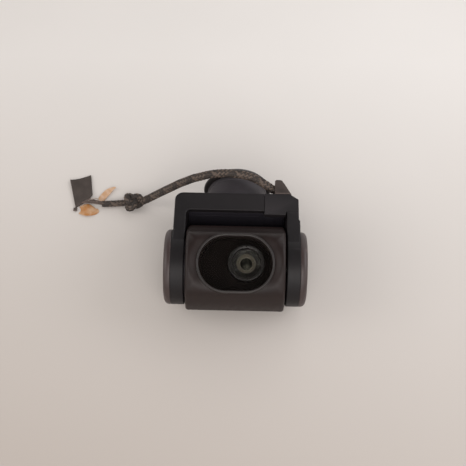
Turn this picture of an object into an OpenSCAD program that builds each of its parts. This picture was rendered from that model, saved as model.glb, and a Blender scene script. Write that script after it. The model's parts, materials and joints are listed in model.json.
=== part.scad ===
// Two-axis (roll and pitch) camera gimbal, lying level on its barrel and bridge.
// Millimetres. +X is the gimbal's right, -Y its front, +Z up.
// The roll axis runs along Y and the pitch axis along X, and they cross inside the camera head.
// Origin: the middle of the object's footprint, on the surface that it stands on.

/* [Camera head] */
// Radius of the barrel-shaped camera head
head_r = 10.5; // [10.2:0.1:10.6]
// Half of the barrel's length along the pitch axis
head_half = 12.1; // [12:0.05:12.2]
// Rounding of the barrel's two rims
head_round = 0.9; // [0.4:0.1:1.2]
// Wall thickness of the barrel's shells
head_wall = 0.9; // [0.7:0.1:1]
// Distance of the flat window face from the pitch axis
face_d = 9.8; // [9.7:0.05:9.9]
// Angle of the lens above the horizontal at rest
lens_tilt = 65; // [60:1:70]

/* [Window and lens] */
// Half of the window rim's width
rim_half_w = 9.35; // [9:0.05:9.6]
// Half of the window rim's height
rim_half_h = 7; // [6.8:0.05:7.1]
// Thickness of the bezel's wall
bezel_wall = 0.4; // [0.3:0.05:0.5]
// How far the lens sits to the right of the middle
lens_x = 2.65; // [2.5:0.05:3]
// How far the lens sits above the middle
lens_y = 0.4; // [0:0.1:0.5]
// Outer radius of the lens barrel
lens_r = 4.45; // [4.3:0.05:4.5]
// Radius of the lens barrel's thread in its holder
lens_thread_r = 3.5; // [3.4:0.05:3.6]

/* [Yoke] */
// Inner faces of the two arms, from the middle
arm_in = 12.5; // [12.4:0.05:12.6]
// Outer faces of the two arms, from the middle
arm_out = 15.5; // [15.4:0.05:15.6]
// Outer faces of the round end caps, from the middle
cap_out = 17.5; // [17.3:0.1:17.7]
// Radius of the round ends of the arms
cap_r = 9.3; // [9.2:0.05:9.4]
// Height of the arms' and the bridge's top face above the pitch axis
yoke_top = 9; // [8.9:0.05:9.1]
// Front face of the bridge, behind the pitch axis
bridge_y0 = 11.4; // [11.3:0.05:11.5]
// Rear face of the bridge, behind the pitch axis
bridge_y1 = 16.7; // [16.6:0.05:16.8]
// Left edge of the separate cable cover on top of the bridge
seam_x = 6.9; // [6.5:0.1:7.2]

/* [Motors] */
// Outer radius of the roll motor's rotor
roll_bell_r = 7.7; // [7.6:0.05:7.8]
// Outer radius of the pitch motor's rotor
pitch_bell_r = 7.4; // [7.3:0.05:7.5]
// Radius of both motor shafts
shaft_r = 0.75; // [0.7:0.05:0.8]
// Inner radius of the bearing tubes, which is the bearings' outer radius
bearing_r = 2; // [1.9:0.05:2.1]
// Number of teeth on each stator
teeth = 9; // [9:3:9]
// Number of magnets in each rotor
magnets = 12; // [12:2:14]

/* [Mounting flange] */
// Radius of the round mounting flange
flange_r = 8.7; // [8.6:0.05:8.8]
// Front face of the flange, behind the pitch axis
flange_y0 = 23.7; // [23.6:0.05:23.8]
// Thickness of the flange
flange_t = 1.6; // [1.4:0.1:2]
// Diameter of the circle that the mounting holes lie on
mount_pcd = 12; // [11.8:0.1:12.2]
// Radius of a mounting hole
mount_hole_r = 0.85; // [0.8:0.05:0.9]
// Number of mounting holes
mount_holes = 3; // [3:1:4]

/* [Cable] */
// Diameter of the braided cable
cable_d = 2.1; // [2:0.05:2.2]
// Diameter of the thinner bundle beyond the knot
bundle_d = 1.7; // [1.5:0.1:1.8]

/* [Hidden] */
$fn = 96;
eps = 0.01;
through = 40;

// Camera head, in its own frame: X along the pitch axis, Y up the picture, Z along the lens
shell_in_r = head_r - head_wall;         // inner radius of the barrel
plate_t = 1;                             // thickness of the two end plates
plate_in = head_half - plate_t;          // inner faces of the end plates
pad_margin = 0.9;                        // width of the raised pad round the window rim
shell_split = 1;                         // where the front and rear shells meet
bezel_top = face_d + 0.2;
bezel_base = 8.3;
glass_t = 0.7;
baffle_base = 4.6;
baffle_wall = 0.45;
head_boss = [9.6, 7.4];                  // place of the four screw bosses, X and Y
boss_r = 1.3;
screw_r = 0.5;
screw_head_r = 1.05;

// The object's extent along Y, which puts the origin in the middle of its footprint
pad_h = rim_half_h + pad_margin;
front_reach = face_d * cos(lens_tilt) + pad_h * sin(lens_tilt);
flange_y1 = flange_y0 + flange_t;
axis_y = (front_reach - flange_y1) / 2;  // the pitch axis in the object's frame
axis_z = head_r;

// Lens train, distances along the optical axis
lens_top = 7.6;
lens_step = 2;
lens_base = -2.6;
front_seat = 5.6;
stop_seat = 5;
stop_t = 0.3;
stop_hole_r = 1.45;
front_lens_r = lens_r - 1.05;
front_dome_r = 5.1;
middle_lens_r = 2.4;
middle_dome_r = 5;
rear_lens_r = 2.9;
rear_dome_r = 7;
rear_lens_z = [-1.4, 0.6];

// Electronics behind the lens
holder = [10, 9.6, 5.5];
holder_z = -4;
sensor_pocket = [8.4, 7.4];
filter_size = [7.8, 7.2];
sensor_size = [7.2, 6, 0.7];
sensor_board_half = [7, 5.5];
thermal_pad_half = [5, 4];
main_board_x = [-10.2, -9.6];
chips = [[[-3.2, -3.6], [2.8, 2.4], 0.8], [[3.4, -3], [5, 0], 0.7], [[-5, -1], [-3.7, 2], 0.7]];
head_ribbon_half_w = 1.2;
head_ribbon_x = 10.35;                   // where the head's ribbon turns up beside the right plate
head_ribbon_z = -0.45;
head_ribbon_end = 15.4;
board_t = 0.6;
pad_t = 0.3;
sink = [13, 8.8, 3.1];
fins = 5;

// Yoke
drum_out = 15.8;                         // where the end caps meet the drums
drum_r = 7.9;                            // bore of the drums
cap_round = 1.3;
cap_wall = 0.7;                          // thickness of the cap's outer face
cap_t = cap_out - drum_out;
arm_half_h = yoke_top;
bridge_wall = 0.8;
inner_cover_t = 0.8;
top_wall = 1.2;
bay_half = 12;                           // half width of the hollow in the bridge
bay_base = -9.3;
corner_round = 2.1;
corner_cut = [2.2, 1.6];
arm_step_y = 8.9;                        // in front of it the right arm is as wide as its drum
lip = 1.1;                               // how far the cable cover reaches over the front
cover_screw_x = 10.8;
cover_screw_z = [-8, 6.4];
wall_right = 0.8;                        // inner wall of the right drum
seat_r = 3.5;                            // outer radius of the trunnion's bearing
seat_l = 2;
trunnion_r = 2;
trunnion_bore = 1.5;
running_gap = 0.03;                      // radial clearance in every bearing
coil_turns = 1.6;                        // pitch ribbon's spiral
coil_r = [4.9, 7.5];
coil_steps = 56;
ribbon_w = 1.9;
ribbon_t = 0.15;
ribbon_half_w = 1.3;
way_half_w = 1.6;                        // half width of the slots that the ribbon passes
arm_way_x = [13.3, 14.9];                // slot inside the right arm
arm_way_y = 6;
ribbon_x = 14.1;                         // ribbon inside the right arm
ribbon_y = 13.35;                        // ribbon inside the bridge
ribbon_end = [8.2, 10.4, 4.9];           // its folded end: from x, to x, and up to z

// Motors
tube_r = bearing_r + 0.6;
magnet_t = 0.7;
bell_wall = 0.6;
bell_disc = 0.9;
stator_r = 5.8;
tooth_w = 0.8;
coil_w = 1.9;
bearing_l = 1.2;
rotor_screw_circle = 4;
rotor_gap = 0.3;                         // between a rotor's disc and the bearing tube or magnets
pitch_bell_x = head_half + bell_disc;    // outer face of the pitch rotor's disc
pitch_bell_end = 15.6;
pitch_stator_x = 15.1;
pitch_stator_l = 1.6;
pitch_magnet_x = 15.4;
pitch_magnet_l = 2.2;
pitch_bearing_x = [-16.4, -14.7];
base_hole_circle = 6;                    // holes of the pitch motor's base
base_hole_r = 0.9;

// Roll motor, distances behind the pitch axis
roll_disc_y = bridge_y1 + bell_disc;
roll_bell_end = 23.3;
roll_stator_y = 18.9;
roll_stator_l = 3;
roll_magnet_l = 4.8;
roll_board_r = 4.9;
hub_cap_t = 0.5;

// Hood that the cable comes out of, rear right of the bridge
hood_plan = [[9.6, bridge_y1], [9.6, 21.1], [11.3, 21.1], [12.2, 19.6], [13.7, bridge_y1]];
hood_room = [[10.3, bridge_y1 - eps], [10.3, 20.4], [11, 20.4], [11.5, 19.3], [12.7, bridge_y1 - eps]];
hood_z = [5.2, 9.2];
hood_wall = 0.7;

// Route of the cable's middle line from the hood, over the motor and down to the table,
// measured from where the two axes cross
run_route = [
    [10, 19.1, 7.4], [9.1, 19.1, 7.5], [7.7, 19.7, 8.2], [5.8, 20.4, 9.1], [3.8, 21.1, 9.7],
    [1.6, 21.7, 9.95], [-0.6, 22, 9.95], [-2.9, 22.2, 9.85], [-5.1, 22.3, 9.5], [-7.3, 22.5, 8.7],
    [-9.4, 22.8, 7.4], [-11.4, 23.4, 5.8], [-13.2, 23.9, 4], [-15, 24.5, 2.1], [-16.7, 25, 0.1],
    [-18.4, 25.6, -2], [-20.1, 26.2, -4.1], [-21.8, 26.6, -6], [-23.4, 26.7, -7.5],
    [-25, 26.5, -8.5], [-26.2, 26.4, -8.9]
];
bundle_route = [
    [-30.8, 26.1, -9.5], [-31.8, 26, -9.6], [-32.8, 25.9, -9.65], [-33.8, 25.8, -9.65],
    [-34.8, 25.75, -9.65], [-35.8, 25.7, -9.65], [-36.8, 25.7, -9.65]
];
tube_sides = 8;
knot_ends = [bundle_route[0].x, run_route[len(run_route) - 1].x];
wires = 5;
wire_r = 0.3;
wire_z = -9.9;
wire_end = [-40.1, 26.9];

// The flat connector board and the two amber tails on the table, from above
connector_t = 0.9;
connector_plan = [
    [-46.7, 34.3], [-46, 33.5], [-44, 34], [-40.8, 36], [-39.8, 29.2], [-40.3, 27.2], [-44, 24.6]
];
tail_t = 0.25;
tail_plans = [
    [[-43, 24.3], [-42.2, 22.5], [-40, 21.9], [-38.4, 22.7], [-37.9, 24.4], [-39.4, 25.8], [-41, 25.9]],
    [[-38.2, 27.6], [-37.2, 30.4], [-35.4, 31.9], [-33.9, 31.6], [-33.2, 30.6], [-34.6, 30.6],
        [-35.4, 29.3], [-36.4, 27.6]]
];

// ---- Frames and shared shapes ----

// Puts children where the pitch and roll axes cross
module at_axis() translate([0, axis_y, axis_z]) children();

// Puts children in the camera head's own frame at rest
module in_head() at_axis() rotate([90 - lens_tilt, 0, 0]) children();

// Disc along X from x0 to x1
module x_disc(r, x0, x1) translate([x0, 0, 0]) rotate([0, 90, 0]) cylinder(r = r, h = x1 - x0);

// Ring along X from x0 to x1
module x_ring(r_out, r_in, x0, x1) difference() {
    x_disc(r_out, x0, x1);
    x_disc(r_in, x0 - 1, x1 + 1);
}

// Disc along Y from y0 to y1
module y_disc(r, y0, y1) translate([0, y0, 0]) rotate([-90, 0, 0]) cylinder(r = r, h = y1 - y0);

// Ring along Y from y0 to y1
module y_ring(r_out, r_in, y0, y1) difference() {
    y_disc(r_out, y0, y1);
    y_disc(r_in, y0 - 1, y1 + 1);
}

// Outline with straight top and bottom and half-round ends, half sizes w and h
module stadium(w, h) {
    square([2 * (w - h), 2 * h], center = true);
    for (side = [-1, 1]) translate([side * (w - h), 0]) circle(h);
}

// Plate of the stadium outline from z0 to z1
module stadium_plate(w, h, z0, z1) translate([0, 0, z0]) linear_extrude(z1 - z0) stadium(w, h);

// Box from one corner to the opposite corner
module span(a, b) translate(a) cube(b - a);

// Motor stator: a hub with teeth that end in curved shoes
module stator(length) linear_extrude(length) difference() {
    union() {
        circle(tube_r + 0.7);
        for (i = [0 : teeth - 1]) rotate(i * 360 / teeth)
            translate([tube_r, -tooth_w / 2]) square([stator_r - 0.25 - tube_r, tooth_w]);
        difference() {
            circle(stator_r);
            circle(stator_r - 0.5);
            for (i = [0 : teeth - 1]) rotate((i + 0.5) * 360 / teeth)
                translate([0, -0.35]) square([stator_r + 1, 0.7]);
        }
    }
    circle(tube_r);
}

// Copper coils, one round each tooth of a stator of the given length
module windings(length) for (i = [0 : teeth - 1]) rotate(i * 360 / teeth) difference() {
    span([tube_r + 0.8, -coil_w / 2, -0.35], [stator_r - 0.6, coil_w / 2, length + 0.35]);
    span([tube_r, -tooth_w / 2, 0], [stator_r, tooth_w / 2, length]);
}

// Ring of separate curved magnets inside a rotor of radius r
module magnet_ring(r, length) linear_extrude(length) difference() {
    circle(r - bell_wall);
    circle(r - bell_wall - magnet_t);
    for (i = [0 : magnets - 1]) rotate(i * 360 / magnets)
        translate([0, -0.15]) square([r, 0.3]);
}

// Ball bearing as a ring with a groove between its races on both faces
module bearing(r_out, r_in, length) difference() {
    cylinder(r = r_out, h = length);
    translate([0, 0, -1]) cylinder(r = r_in, h = length + 2);
    for (z = [-eps, length - 0.15]) translate([0, 0, z]) difference() {
        cylinder(r = r_out - 0.35, h = 0.15 + eps);
        cylinder(r = r_in + 0.3, h = 0.15 + eps);
    }
}

// Screw along +Z with its head below z = 0 and a cross recess in it
module screw(head_r, shank_r, head_h, shank_l) difference() {
    union() {
        translate([0, 0, -head_h]) cylinder(r = head_r, h = head_h, $fn = 48);
        cylinder(r = shank_r, h = shank_l, $fn = 48);
    }
    for (turn = [0, 90]) rotate(turn)
        span([-head_r * 0.6, -0.12, -head_h - eps], [head_r * 0.6, 0.12, -head_h * 0.5]);
}

// Unit vector along a vector
function unit(v) = v / norm(v);

// Direction of a route at point i
function heading(route, i) =
    unit(route[min(i + 1, len(route) - 1)] - route[max(i - 1, 0)]);

// Ring of points round point i of a route, in the plane across it
function ring_at(route, i, r) =
    let (t = heading(route, i), side = unit(cross(t, [0, 1, 0.2])), up = cross(side, t))
    [for (k = [0 : tube_sides - 1])
        route[i] + r * (cos(k * 360 / tube_sides) * side + sin(k * 360 / tube_sides) * up)];

// Tube of radius r swept along a route
module tube(route, r) {
    n = len(route);
    points = [for (i = [0 : n - 1]) each ring_at(route, i, r)];
    walls = [for (i = [0 : n - 2], k = [0 : tube_sides - 1])
        let (a = i * tube_sides, b = a + tube_sides, next = (k + 1) % tube_sides)
        each [[a + k, a + next, b + next], [a + k, b + next, b + k]]];
    first = [[for (k = [tube_sides - 1 : -1 : 0]) k]];
    last = [[for (k = [0 : tube_sides - 1]) (n - 1) * tube_sides + k]];
    polyhedron(points, concat(walls, first, last));
}

// ---- Yoke ----

// The bridge seen from above: round left rear corner, cut right rear corner
module bridge_plan() difference() {
    translate([-arm_out, bridge_y0]) square([2 * arm_out, bridge_y1 - bridge_y0]);
    translate([-arm_out - eps, bridge_y1 - corner_round]) difference() {
        square([corner_round + eps, corner_round + eps]);
        translate([corner_round + eps, 0]) circle(corner_round);
    }
    polygon([[arm_out - corner_cut.x, bridge_y1 + eps], [arm_out + eps, bridge_y1 + eps],
        [arm_out + eps, bridge_y1 - corner_cut.y]]);
}

// The part of the bridge's top that is the separate cable cover, from above
module cover_plan() intersection() {
    bridge_plan();
    translate([seam_x, 0]) square([through, through]);
}

// Posts or holes along Y for the four screws of the inner cover
module at_cover_screws() for (x = [-1, 1], z = cover_screw_z)
    translate([x * cover_screw_x, 0, z]) children();

// Three places on the rotor screw circle
module at_rotor_screws() for (i = [0 : 2]) rotate(30 + i * 120) translate([rotor_screw_circle, 0, 0])
    children();

module yoke_frame() color("#2c282b") at_axis() difference() {
    union() {
        for (side = [-1, 1]) mirror([side < 0 ? 1 : 0, 0, 0]) {
            x_disc(cap_r, arm_in, drum_out);
            span([arm_in, 0, -arm_half_h], [arm_out, bridge_y0 + eps, yoke_top]);
        }
        span([arm_in, 0, -arm_half_h], [drum_out, arm_step_y, yoke_top]);
        translate([0, 0, -axis_z]) linear_extrude(axis_z + yoke_top) bridge_plan();
    }
    translate([0, 0, yoke_top - top_wall]) linear_extrude(through) cover_plan();
    difference() {
        span([-bay_half, bridge_y0 - eps, bay_base],
            [bay_half, bridge_y1 - bridge_wall, yoke_top - top_wall]);
        at_cover_screws() y_disc(boss_r, bridge_y0 + inner_cover_t, bridge_y1);
    }
    at_cover_screws() y_disc(screw_r, bridge_y0, bridge_y1 - bridge_wall);
    x_disc(drum_r, -through, -arm_in + 1);
    x_disc(drum_r, arm_in + wall_right + seat_l, through);
    x_ring(drum_r, seat_r + 0.8, arm_in + wall_right, arm_in + wall_right + seat_l + 1);
    x_disc(seat_r, arm_in + wall_right, through);
    x_disc(trunnion_r + 0.4, arm_in - 1, arm_in + wall_right + 1);
    span([arm_way_x[0], arm_way_y, -way_half_w], [arm_way_x[1], bridge_y0 + 3, way_half_w]);
    span([bay_half - 1, bridge_y0 + 1, -way_half_w], [arm_way_x[1], bridge_y0 + 3, way_half_w]);
    span([hood_room[0].x, bridge_y1 - bridge_wall - 1, hood_z[0] + hood_wall],
        [hood_room[4].x - 0.2, bridge_y1 + 1, yoke_top - top_wall - 0.2]);
    rotate([-90, 0, 0]) translate([0, 0, bridge_y1 - 1]) {
        cylinder(r = shaft_r, h = 2);
        at_rotor_screws() cylinder(r = screw_r + 0.05, h = 2);
    }
}

module yoke_inner_cover() color("#242124") at_axis() difference() {
    span([-bay_half, bridge_y0, bay_base], [bay_half, bridge_y0 + inner_cover_t, yoke_top - top_wall]);
    at_cover_screws() {
        y_disc(screw_r + 0.05, bridge_y0 - 1, bridge_y1);
        y_disc(screw_head_r + 0.05, bridge_y0 - 1, bridge_y0 + 0.4);
    }
    span([-6, bridge_y0 + 0.5, -6], [6, bridge_y0 + 1, 4]);
}

module yoke_cover_screws() color("silver") at_axis() at_cover_screws()
    translate([0, bridge_y0 + 0.4, 0]) rotate([-90, 0, 0]) screw(screw_head_r, screw_r, 0.35, 2.4);

// Round cap with a rounded rim and a shallow room behind it, on the +X side
module end_cap() at_axis() difference() {
    translate([drum_out, 0, 0]) rotate([0, 90, 0]) rotate_extrude() {
        square([cap_r, cap_t - cap_round]);
        square([cap_r - cap_round, cap_t]);
        intersection() {
            translate([cap_r - cap_round, cap_t - cap_round]) circle(cap_round);
            square([cap_r, cap_t]);
        }
    }
    x_disc(drum_r, drum_out - 1, cap_out - cap_wall);
}

module left_cap() color("#332d2e") mirror([1, 0, 0]) end_cap();

module right_cap() color("#332d2e") end_cap();

module cable_cover() color("#2f2b2e") at_axis() {
    translate([0, 0, yoke_top - top_wall]) linear_extrude(top_wall) {
        cover_plan();
        translate([seam_x, bridge_y0 - lip]) square([arm_in - 0.2 - seam_x, lip + eps]);
    }
}

module cable_hood() color("#463d38") at_axis() difference() {
    translate([0, 0, hood_z[0]]) linear_extrude(hood_z[1] - hood_z[0]) polygon(hood_plan);
    translate([0, 0, hood_z[0] + hood_wall])
        linear_extrude(hood_z[1] - hood_z[0] - 2 * hood_wall) polygon(hood_room);
    translate([9, run_route[0].y, run_route[0].z]) rotate([0, 90, 0])
        cylinder(r = cable_d / 2 + 0.05, h = 2, $fn = 48);
}

module pitch_motor_base() color("silver") at_axis() difference() {
    union() {
        x_disc(drum_r, -cap_out + cap_wall, -drum_out);
        x_disc(tube_r, -drum_out - eps, -pitch_bell_x - rotor_gap);
    }
    x_disc(bearing_r, -cap_out, -arm_in);
    for (i = [0 : 2]) rotate([i * 120, 0, 0]) translate([0, 0, base_hole_circle])
        x_disc(base_hole_r, -cap_out, -arm_in);
}

module pitch_stator() color("#8a8d92") at_axis()
    translate([-pitch_stator_x, 0, 0]) rotate([0, 90, 0]) stator(pitch_stator_l);

module pitch_windings() color("#b5652f") at_axis()
    translate([-pitch_stator_x, 0, 0]) rotate([0, 90, 0]) windings(pitch_stator_l);

module pitch_bearings() color("#b9bcc1") at_axis() for (x = pitch_bearing_x)
    translate([x, 0, 0]) rotate([0, 90, 0]) bearing(bearing_r, shaft_r + running_gap, bearing_l);

module trunnion_bearing() color("#b9bcc1") at_axis() translate([arm_in + wall_right, 0, 0])
    rotate([0, 90, 0]) bearing(seat_r, trunnion_r + running_gap, seat_l);

// Point on the flat spiral of the pitch ribbon, at a fraction of its length
function coil_point(part, extra) =
    let (a = part * coil_turns * 360, r = coil_r[0] + (coil_r[1] - coil_r[0]) * part + extra)
    [r * cos(a), r * sin(a)];

// Flat spring-like ribbon wound round the bearing seat, which lets the camera head turn
module pitch_flex_coil() color("#c98a45") at_axis()
    translate([arm_in + wall_right + 0.2, 0, 0]) rotate([0, 90, 0]) linear_extrude(ribbon_w)
        polygon(concat([for (i = [0 : coil_steps]) coil_point(i / coil_steps, 0)],
            [for (i = [coil_steps : -1 : 0]) coil_point(i / coil_steps, ribbon_t)]));

// Ribbon from the right arm through the bridge to the hood
module yoke_flex() color("#c98a45") at_axis() {
    edge = [ribbon_x + ribbon_t, ribbon_y + ribbon_t];
    span([ribbon_x, arm_way_y + 2, -ribbon_half_w], [edge.x, edge.y, ribbon_half_w]);
    span([ribbon_end.x, ribbon_y, -ribbon_half_w], [edge.x, edge.y, ribbon_half_w]);
    span([ribbon_end.x, ribbon_y, -ribbon_half_w], [ribbon_end.y, edge.y, ribbon_end.z]);
}

// ---- Roll motor: rotor on the yoke, stator on the mounting flange ----

module roll_bell() color("#3a363a") at_axis() difference() {
    y_disc(roll_bell_r, bridge_y1, roll_bell_end);
    y_disc(roll_bell_r - bell_wall, roll_disc_y, through);
    y_disc(shaft_r, 0, through);
    rotate([-90, 0, 0]) at_rotor_screws() cylinder(r = screw_r, h = through);
}

module roll_magnets() color("#6d6f74") at_axis() translate([0, roll_disc_y + rotor_gap, 0])
    rotate([-90, 0, 0]) magnet_ring(roll_bell_r, roll_magnet_l);

module roll_shaft() color("silver") at_axis() y_disc(shaft_r, bridge_y1 - bridge_wall, flange_y0 + 0.9);

module roll_bell_screws() color("silver") at_axis() translate([0, bridge_y1 - bridge_wall, 0])
    rotate([-90, 0, 0]) at_rotor_screws() screw(screw_head_r, screw_r, 0.6, bridge_wall + bell_disc);

module roll_mount() color("#45413f") at_axis() difference() {
    union() {
        y_disc(flange_r, flange_y0, flange_y1);
        y_disc(tube_r, roll_disc_y + 0.8, flange_y0 + eps);
    }
    y_disc(bearing_r, bridge_y1, through);
    rotate([-90, 0, 0]) for (i = [0 : mount_holes - 1]) rotate(-90 + i * 360 / mount_holes)
        translate([mount_pcd / 2, 0, 0]) cylinder(r = mount_hole_r, h = through);
}

module roll_stator() color("#8a8d92") at_axis() translate([0, roll_stator_y, 0]) rotate([-90, 0, 0])
    stator(roll_stator_l);

module roll_windings() color("#b5652f") at_axis() translate([0, roll_stator_y, 0]) rotate([-90, 0, 0])
    windings(roll_stator_l);

module roll_bearings() color("#b9bcc1") at_axis() for (y = [roll_disc_y + 1, flange_y0 - 0.4])
    translate([0, y, 0]) rotate([-90, 0, 0]) bearing(bearing_r, shaft_r + running_gap, bearing_l);

module roll_motor_board() color("#1f4a35") at_axis() y_ring(roll_board_r, tube_r, flange_y0 - board_t,
    flange_y0);

module roll_hub_cap() color("#2a2828") at_axis() y_disc(bearing_r, flange_y1 - hub_cap_t,
    flange_y1);

// ---- Camera head ----

// Outside of the barrel, with rounded rims
module barrel_body() translate([-head_half, 0, 0]) rotate([0, 90, 0]) rotate_extrude() {
    square([head_r - head_round, 2 * head_half]);
    translate([0, head_round]) square([head_r, 2 * (head_half - head_round)]);
    for (z = [head_round, 2 * head_half - head_round])
        translate([head_r - head_round, z]) circle(head_round);
}

// The four places of the head's screws
module at_head_screws() for (x = [-1, 1], y = [-1, 1])
    translate([x * head_boss[0], y * head_boss[1], 0]) children();

// The room inside the shells, and the ends where the end plates sit
module barrel_room() {
    difference() {
        x_disc(shell_in_r, -plate_in, plate_in);
        at_head_screws() translate([0, 0, -through / 2]) cylinder(r = boss_r, h = through);
    }
    for (side = [-1, 1]) mirror([side < 0 ? 1 : 0, 0, 0]) x_disc(shell_in_r, plate_in - eps, through);
}

module head_front_shell() color("#352b29") in_head() difference() {
    union() {
        intersection() {
            barrel_body();
            span([-through, -through, shell_split], [through, through, through]);
        }
        stadium_plate(rim_half_w + pad_margin, pad_h, shell_split, face_d);
    }
    barrel_room();
    stadium_plate(rim_half_w + pad_margin, pad_h, face_d, through);
    stadium_plate(rim_half_w, rim_half_h, baffle_base - 1, through);
    at_head_screws() translate([0, 0, shell_split - 1]) cylinder(r = screw_r, h = 4);
}

module head_rear_shell() color("#2e2726") in_head() difference() {
    intersection() {
        barrel_body();
        span([-through, -through, -through], [through, through, shell_split]);
    }
    barrel_room();
    at_head_screws() translate([0, 0, -through]) {
        cylinder(r = screw_r + 0.05, h = 2 * through);
        cylinder(r = screw_head_r + 0.1, h = through - 3);
    }
}

module head_left_plate() color("#26211f") in_head() difference() {
    x_disc(shell_in_r, -head_half, -plate_in);
    x_disc(shaft_r + 0.3, -through, 0);
    rotate([0, 90, 0]) at_rotor_screws() translate([0, 0, -through])
        cylinder(r = screw_r + 0.05, h = through);
}

module head_right_plate() color("#26211f") in_head() x_ring(shell_in_r, trunnion_r, plate_in, head_half);

module head_screws() color("silver") in_head() at_head_screws()
    translate([0, 0, -3]) screw(screw_head_r, screw_r, 0.9, 6.6);

module window_bezel() color("#1d1a1a") in_head() difference() {
    stadium_plate(rim_half_w, rim_half_h, bezel_base, bezel_top);
    stadium_plate(rim_half_w - bezel_wall, rim_half_h - bezel_wall, 0, through);
}

module window_glass() color("#101418", 0.4) in_head() stadium_plate(
    rim_half_w - bezel_wall, rim_half_h - bezel_wall, bezel_base, bezel_base + glass_t);

module light_baffle() color("#0d0b0b") in_head() difference() {
    union() {
        stadium_plate(rim_half_w - bezel_wall, rim_half_h - bezel_wall, baffle_base, bezel_base);
        stadium_plate(rim_half_w, rim_half_h, bezel_base - 0.7, bezel_base);
    }
    stadium_plate(rim_half_w - bezel_wall - baffle_wall, rim_half_h - bezel_wall - baffle_wall,
        baffle_base + 0.6, through);
    translate([lens_x, lens_y, 0]) cylinder(r = lens_r + 0.15, h = through);
}

module lens_barrel() color("#1b1b1d") in_head() translate([lens_x, lens_y, 0]) difference() {
    union() {
        translate([0, 0, lens_step]) cylinder(r = lens_r, h = lens_top - lens_step);
        translate([0, 0, lens_base]) cylinder(r = lens_thread_r, h = lens_step - lens_base + eps);
    }
    translate([0, 0, front_seat]) cylinder(r = front_lens_r, h = through);
    translate([0, 0, lens_step]) cylinder(r = middle_lens_r, h = through);
    translate([0, 0, -through]) cylinder(r = rear_lens_r, h = through + lens_step);
}

module lens_retaining_ring() color("#55504c") in_head() translate([lens_x, lens_y, lens_top])
    rotate_extrude() polygon([[3, 0], [lens_r, 0], [lens_r, 0.35], [lens_r - 0.15, 0.5], [3.6, 0.5]]);

// Lens element: a disc of radius r from z0, domed to the top z1 with the given curvature
module lens_element(r, z0, z1, dome_r) intersection() {
    translate([0, 0, z0]) cylinder(r = r, h = z1 - z0);
    translate([0, 0, z1 - dome_r]) sphere(dome_r);
}

module front_lens() color("#2a3326", 0.6) in_head() translate([lens_x, lens_y, 0])
    lens_element(front_lens_r, front_seat, lens_top + 0.3, front_dome_r);

module aperture_stop() color("#15120e") in_head() translate([lens_x, lens_y, stop_seat]) difference() {
    cylinder(r = middle_lens_r, h = stop_t);
    translate([0, 0, -1]) cylinder(r = stop_hole_r, h = 2);
}

module middle_lens() color("#33402c", 0.6) in_head() translate([lens_x, lens_y, 0])
    lens_element(middle_lens_r, lens_step + 1, stop_seat, middle_dome_r);

module rear_lens() color("#33402c", 0.6) in_head() translate([lens_x, lens_y, 0])
    lens_element(rear_lens_r, rear_lens_z[0], rear_lens_z[1], rear_dome_r);

module lens_holder() color("#171616") in_head() translate([lens_x, lens_y, holder_z]) difference() {
    translate([-holder.x / 2, -holder.y / 2, 0]) cube(holder);
    cylinder(r = lens_thread_r, h = through);
    translate([-sensor_pocket.x / 2, -sensor_pocket.y / 2, -1])
        cube([sensor_pocket.x, sensor_pocket.y, lens_base - holder_z + 1]);
}

module infrared_filter() color("#5b8f9c", 0.5) in_head() translate([lens_x, lens_y, lens_base - pad_t])
    translate([-filter_size.x / 2, -filter_size.y / 2, 0]) cube([filter_size.x, filter_size.y, pad_t]);

module image_sensor() color("#3b4a63") in_head() translate([lens_x, lens_y, holder_z])
    translate([-sensor_size.x / 2, -sensor_size.y / 2, 0]) cube(sensor_size);

module sensor_board() color("#1f4a35") in_head()
    span([lens_x - sensor_board_half.x, -sensor_board_half.y, holder_z - board_t],
        [lens_x + sensor_board_half.x, sensor_board_half.y, holder_z]);

module thermal_pad() color("#7f8790") in_head()
    span([lens_x - thermal_pad_half.x, -thermal_pad_half.y, holder_z - board_t - pad_t],
        [lens_x + thermal_pad_half.x, thermal_pad_half.y, holder_z - board_t]);

module heat_sink() color("#a8abb0") in_head() translate([lens_x - 1, 0, holder_z - board_t - pad_t])
    difference() {
        translate([-sink.x / 2, -sink.y / 2, -sink.z]) cube(sink);
        for (i = [1 : fins - 1]) translate([-sink.x / 2 + i * sink.x / fins - 0.5, -through / 2, -sink.z - 1])
            cube([1, through, 2.4]);
    }

module main_board() color("#1f4a35") in_head() span(
    [main_board_x[0], -sensor_board_half.y, -5], [main_board_x[1], sensor_board_half.y, 4]);

// Each chip: a corner in Y and Z, the opposite corner, and its height
module main_board_chips() color("#1a1a1c") in_head() for (chip = chips)
    span([main_board_x[1], chip[0][0], chip[0][1]], [main_board_x[1] + chip[2], chip[1][0], chip[1][1]]);

module motion_sensor_board() color("#1f4a35") in_head() {
    span([-6, 7.2, -3], [-1, 7.6, 2]);
    span([-4.6, 6.6, -1.6], [-2.4, 7.2 + eps, 0.6]);
}

module head_flex() color("#c98a45") in_head() {
    low = holder_z - board_t + ribbon_t / 2;
    half = head_ribbon_half_w;
    turn = head_ribbon_x + ribbon_t;
    span([lens_x + sensor_board_half.x, -half, low], [turn, half, low + ribbon_t]);
    span([head_ribbon_x, -half, low], [turn, half, head_ribbon_z + ribbon_t]);
    span([head_ribbon_x, -half, head_ribbon_z], [head_ribbon_end, half, head_ribbon_z + ribbon_t]);
}

// ---- Pitch motor's rotor and the trunnion, on the camera head ----

module pitch_bell() color("#3a363a") in_head() difference() {
    x_disc(pitch_bell_r, -pitch_bell_end, -head_half);
    x_disc(pitch_bell_r - bell_wall, -through, -pitch_bell_x);
    x_disc(shaft_r, -through, 0);
    rotate([0, 90, 0]) at_rotor_screws() translate([0, 0, -through]) cylinder(r = screw_r, h = through);
}

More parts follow.
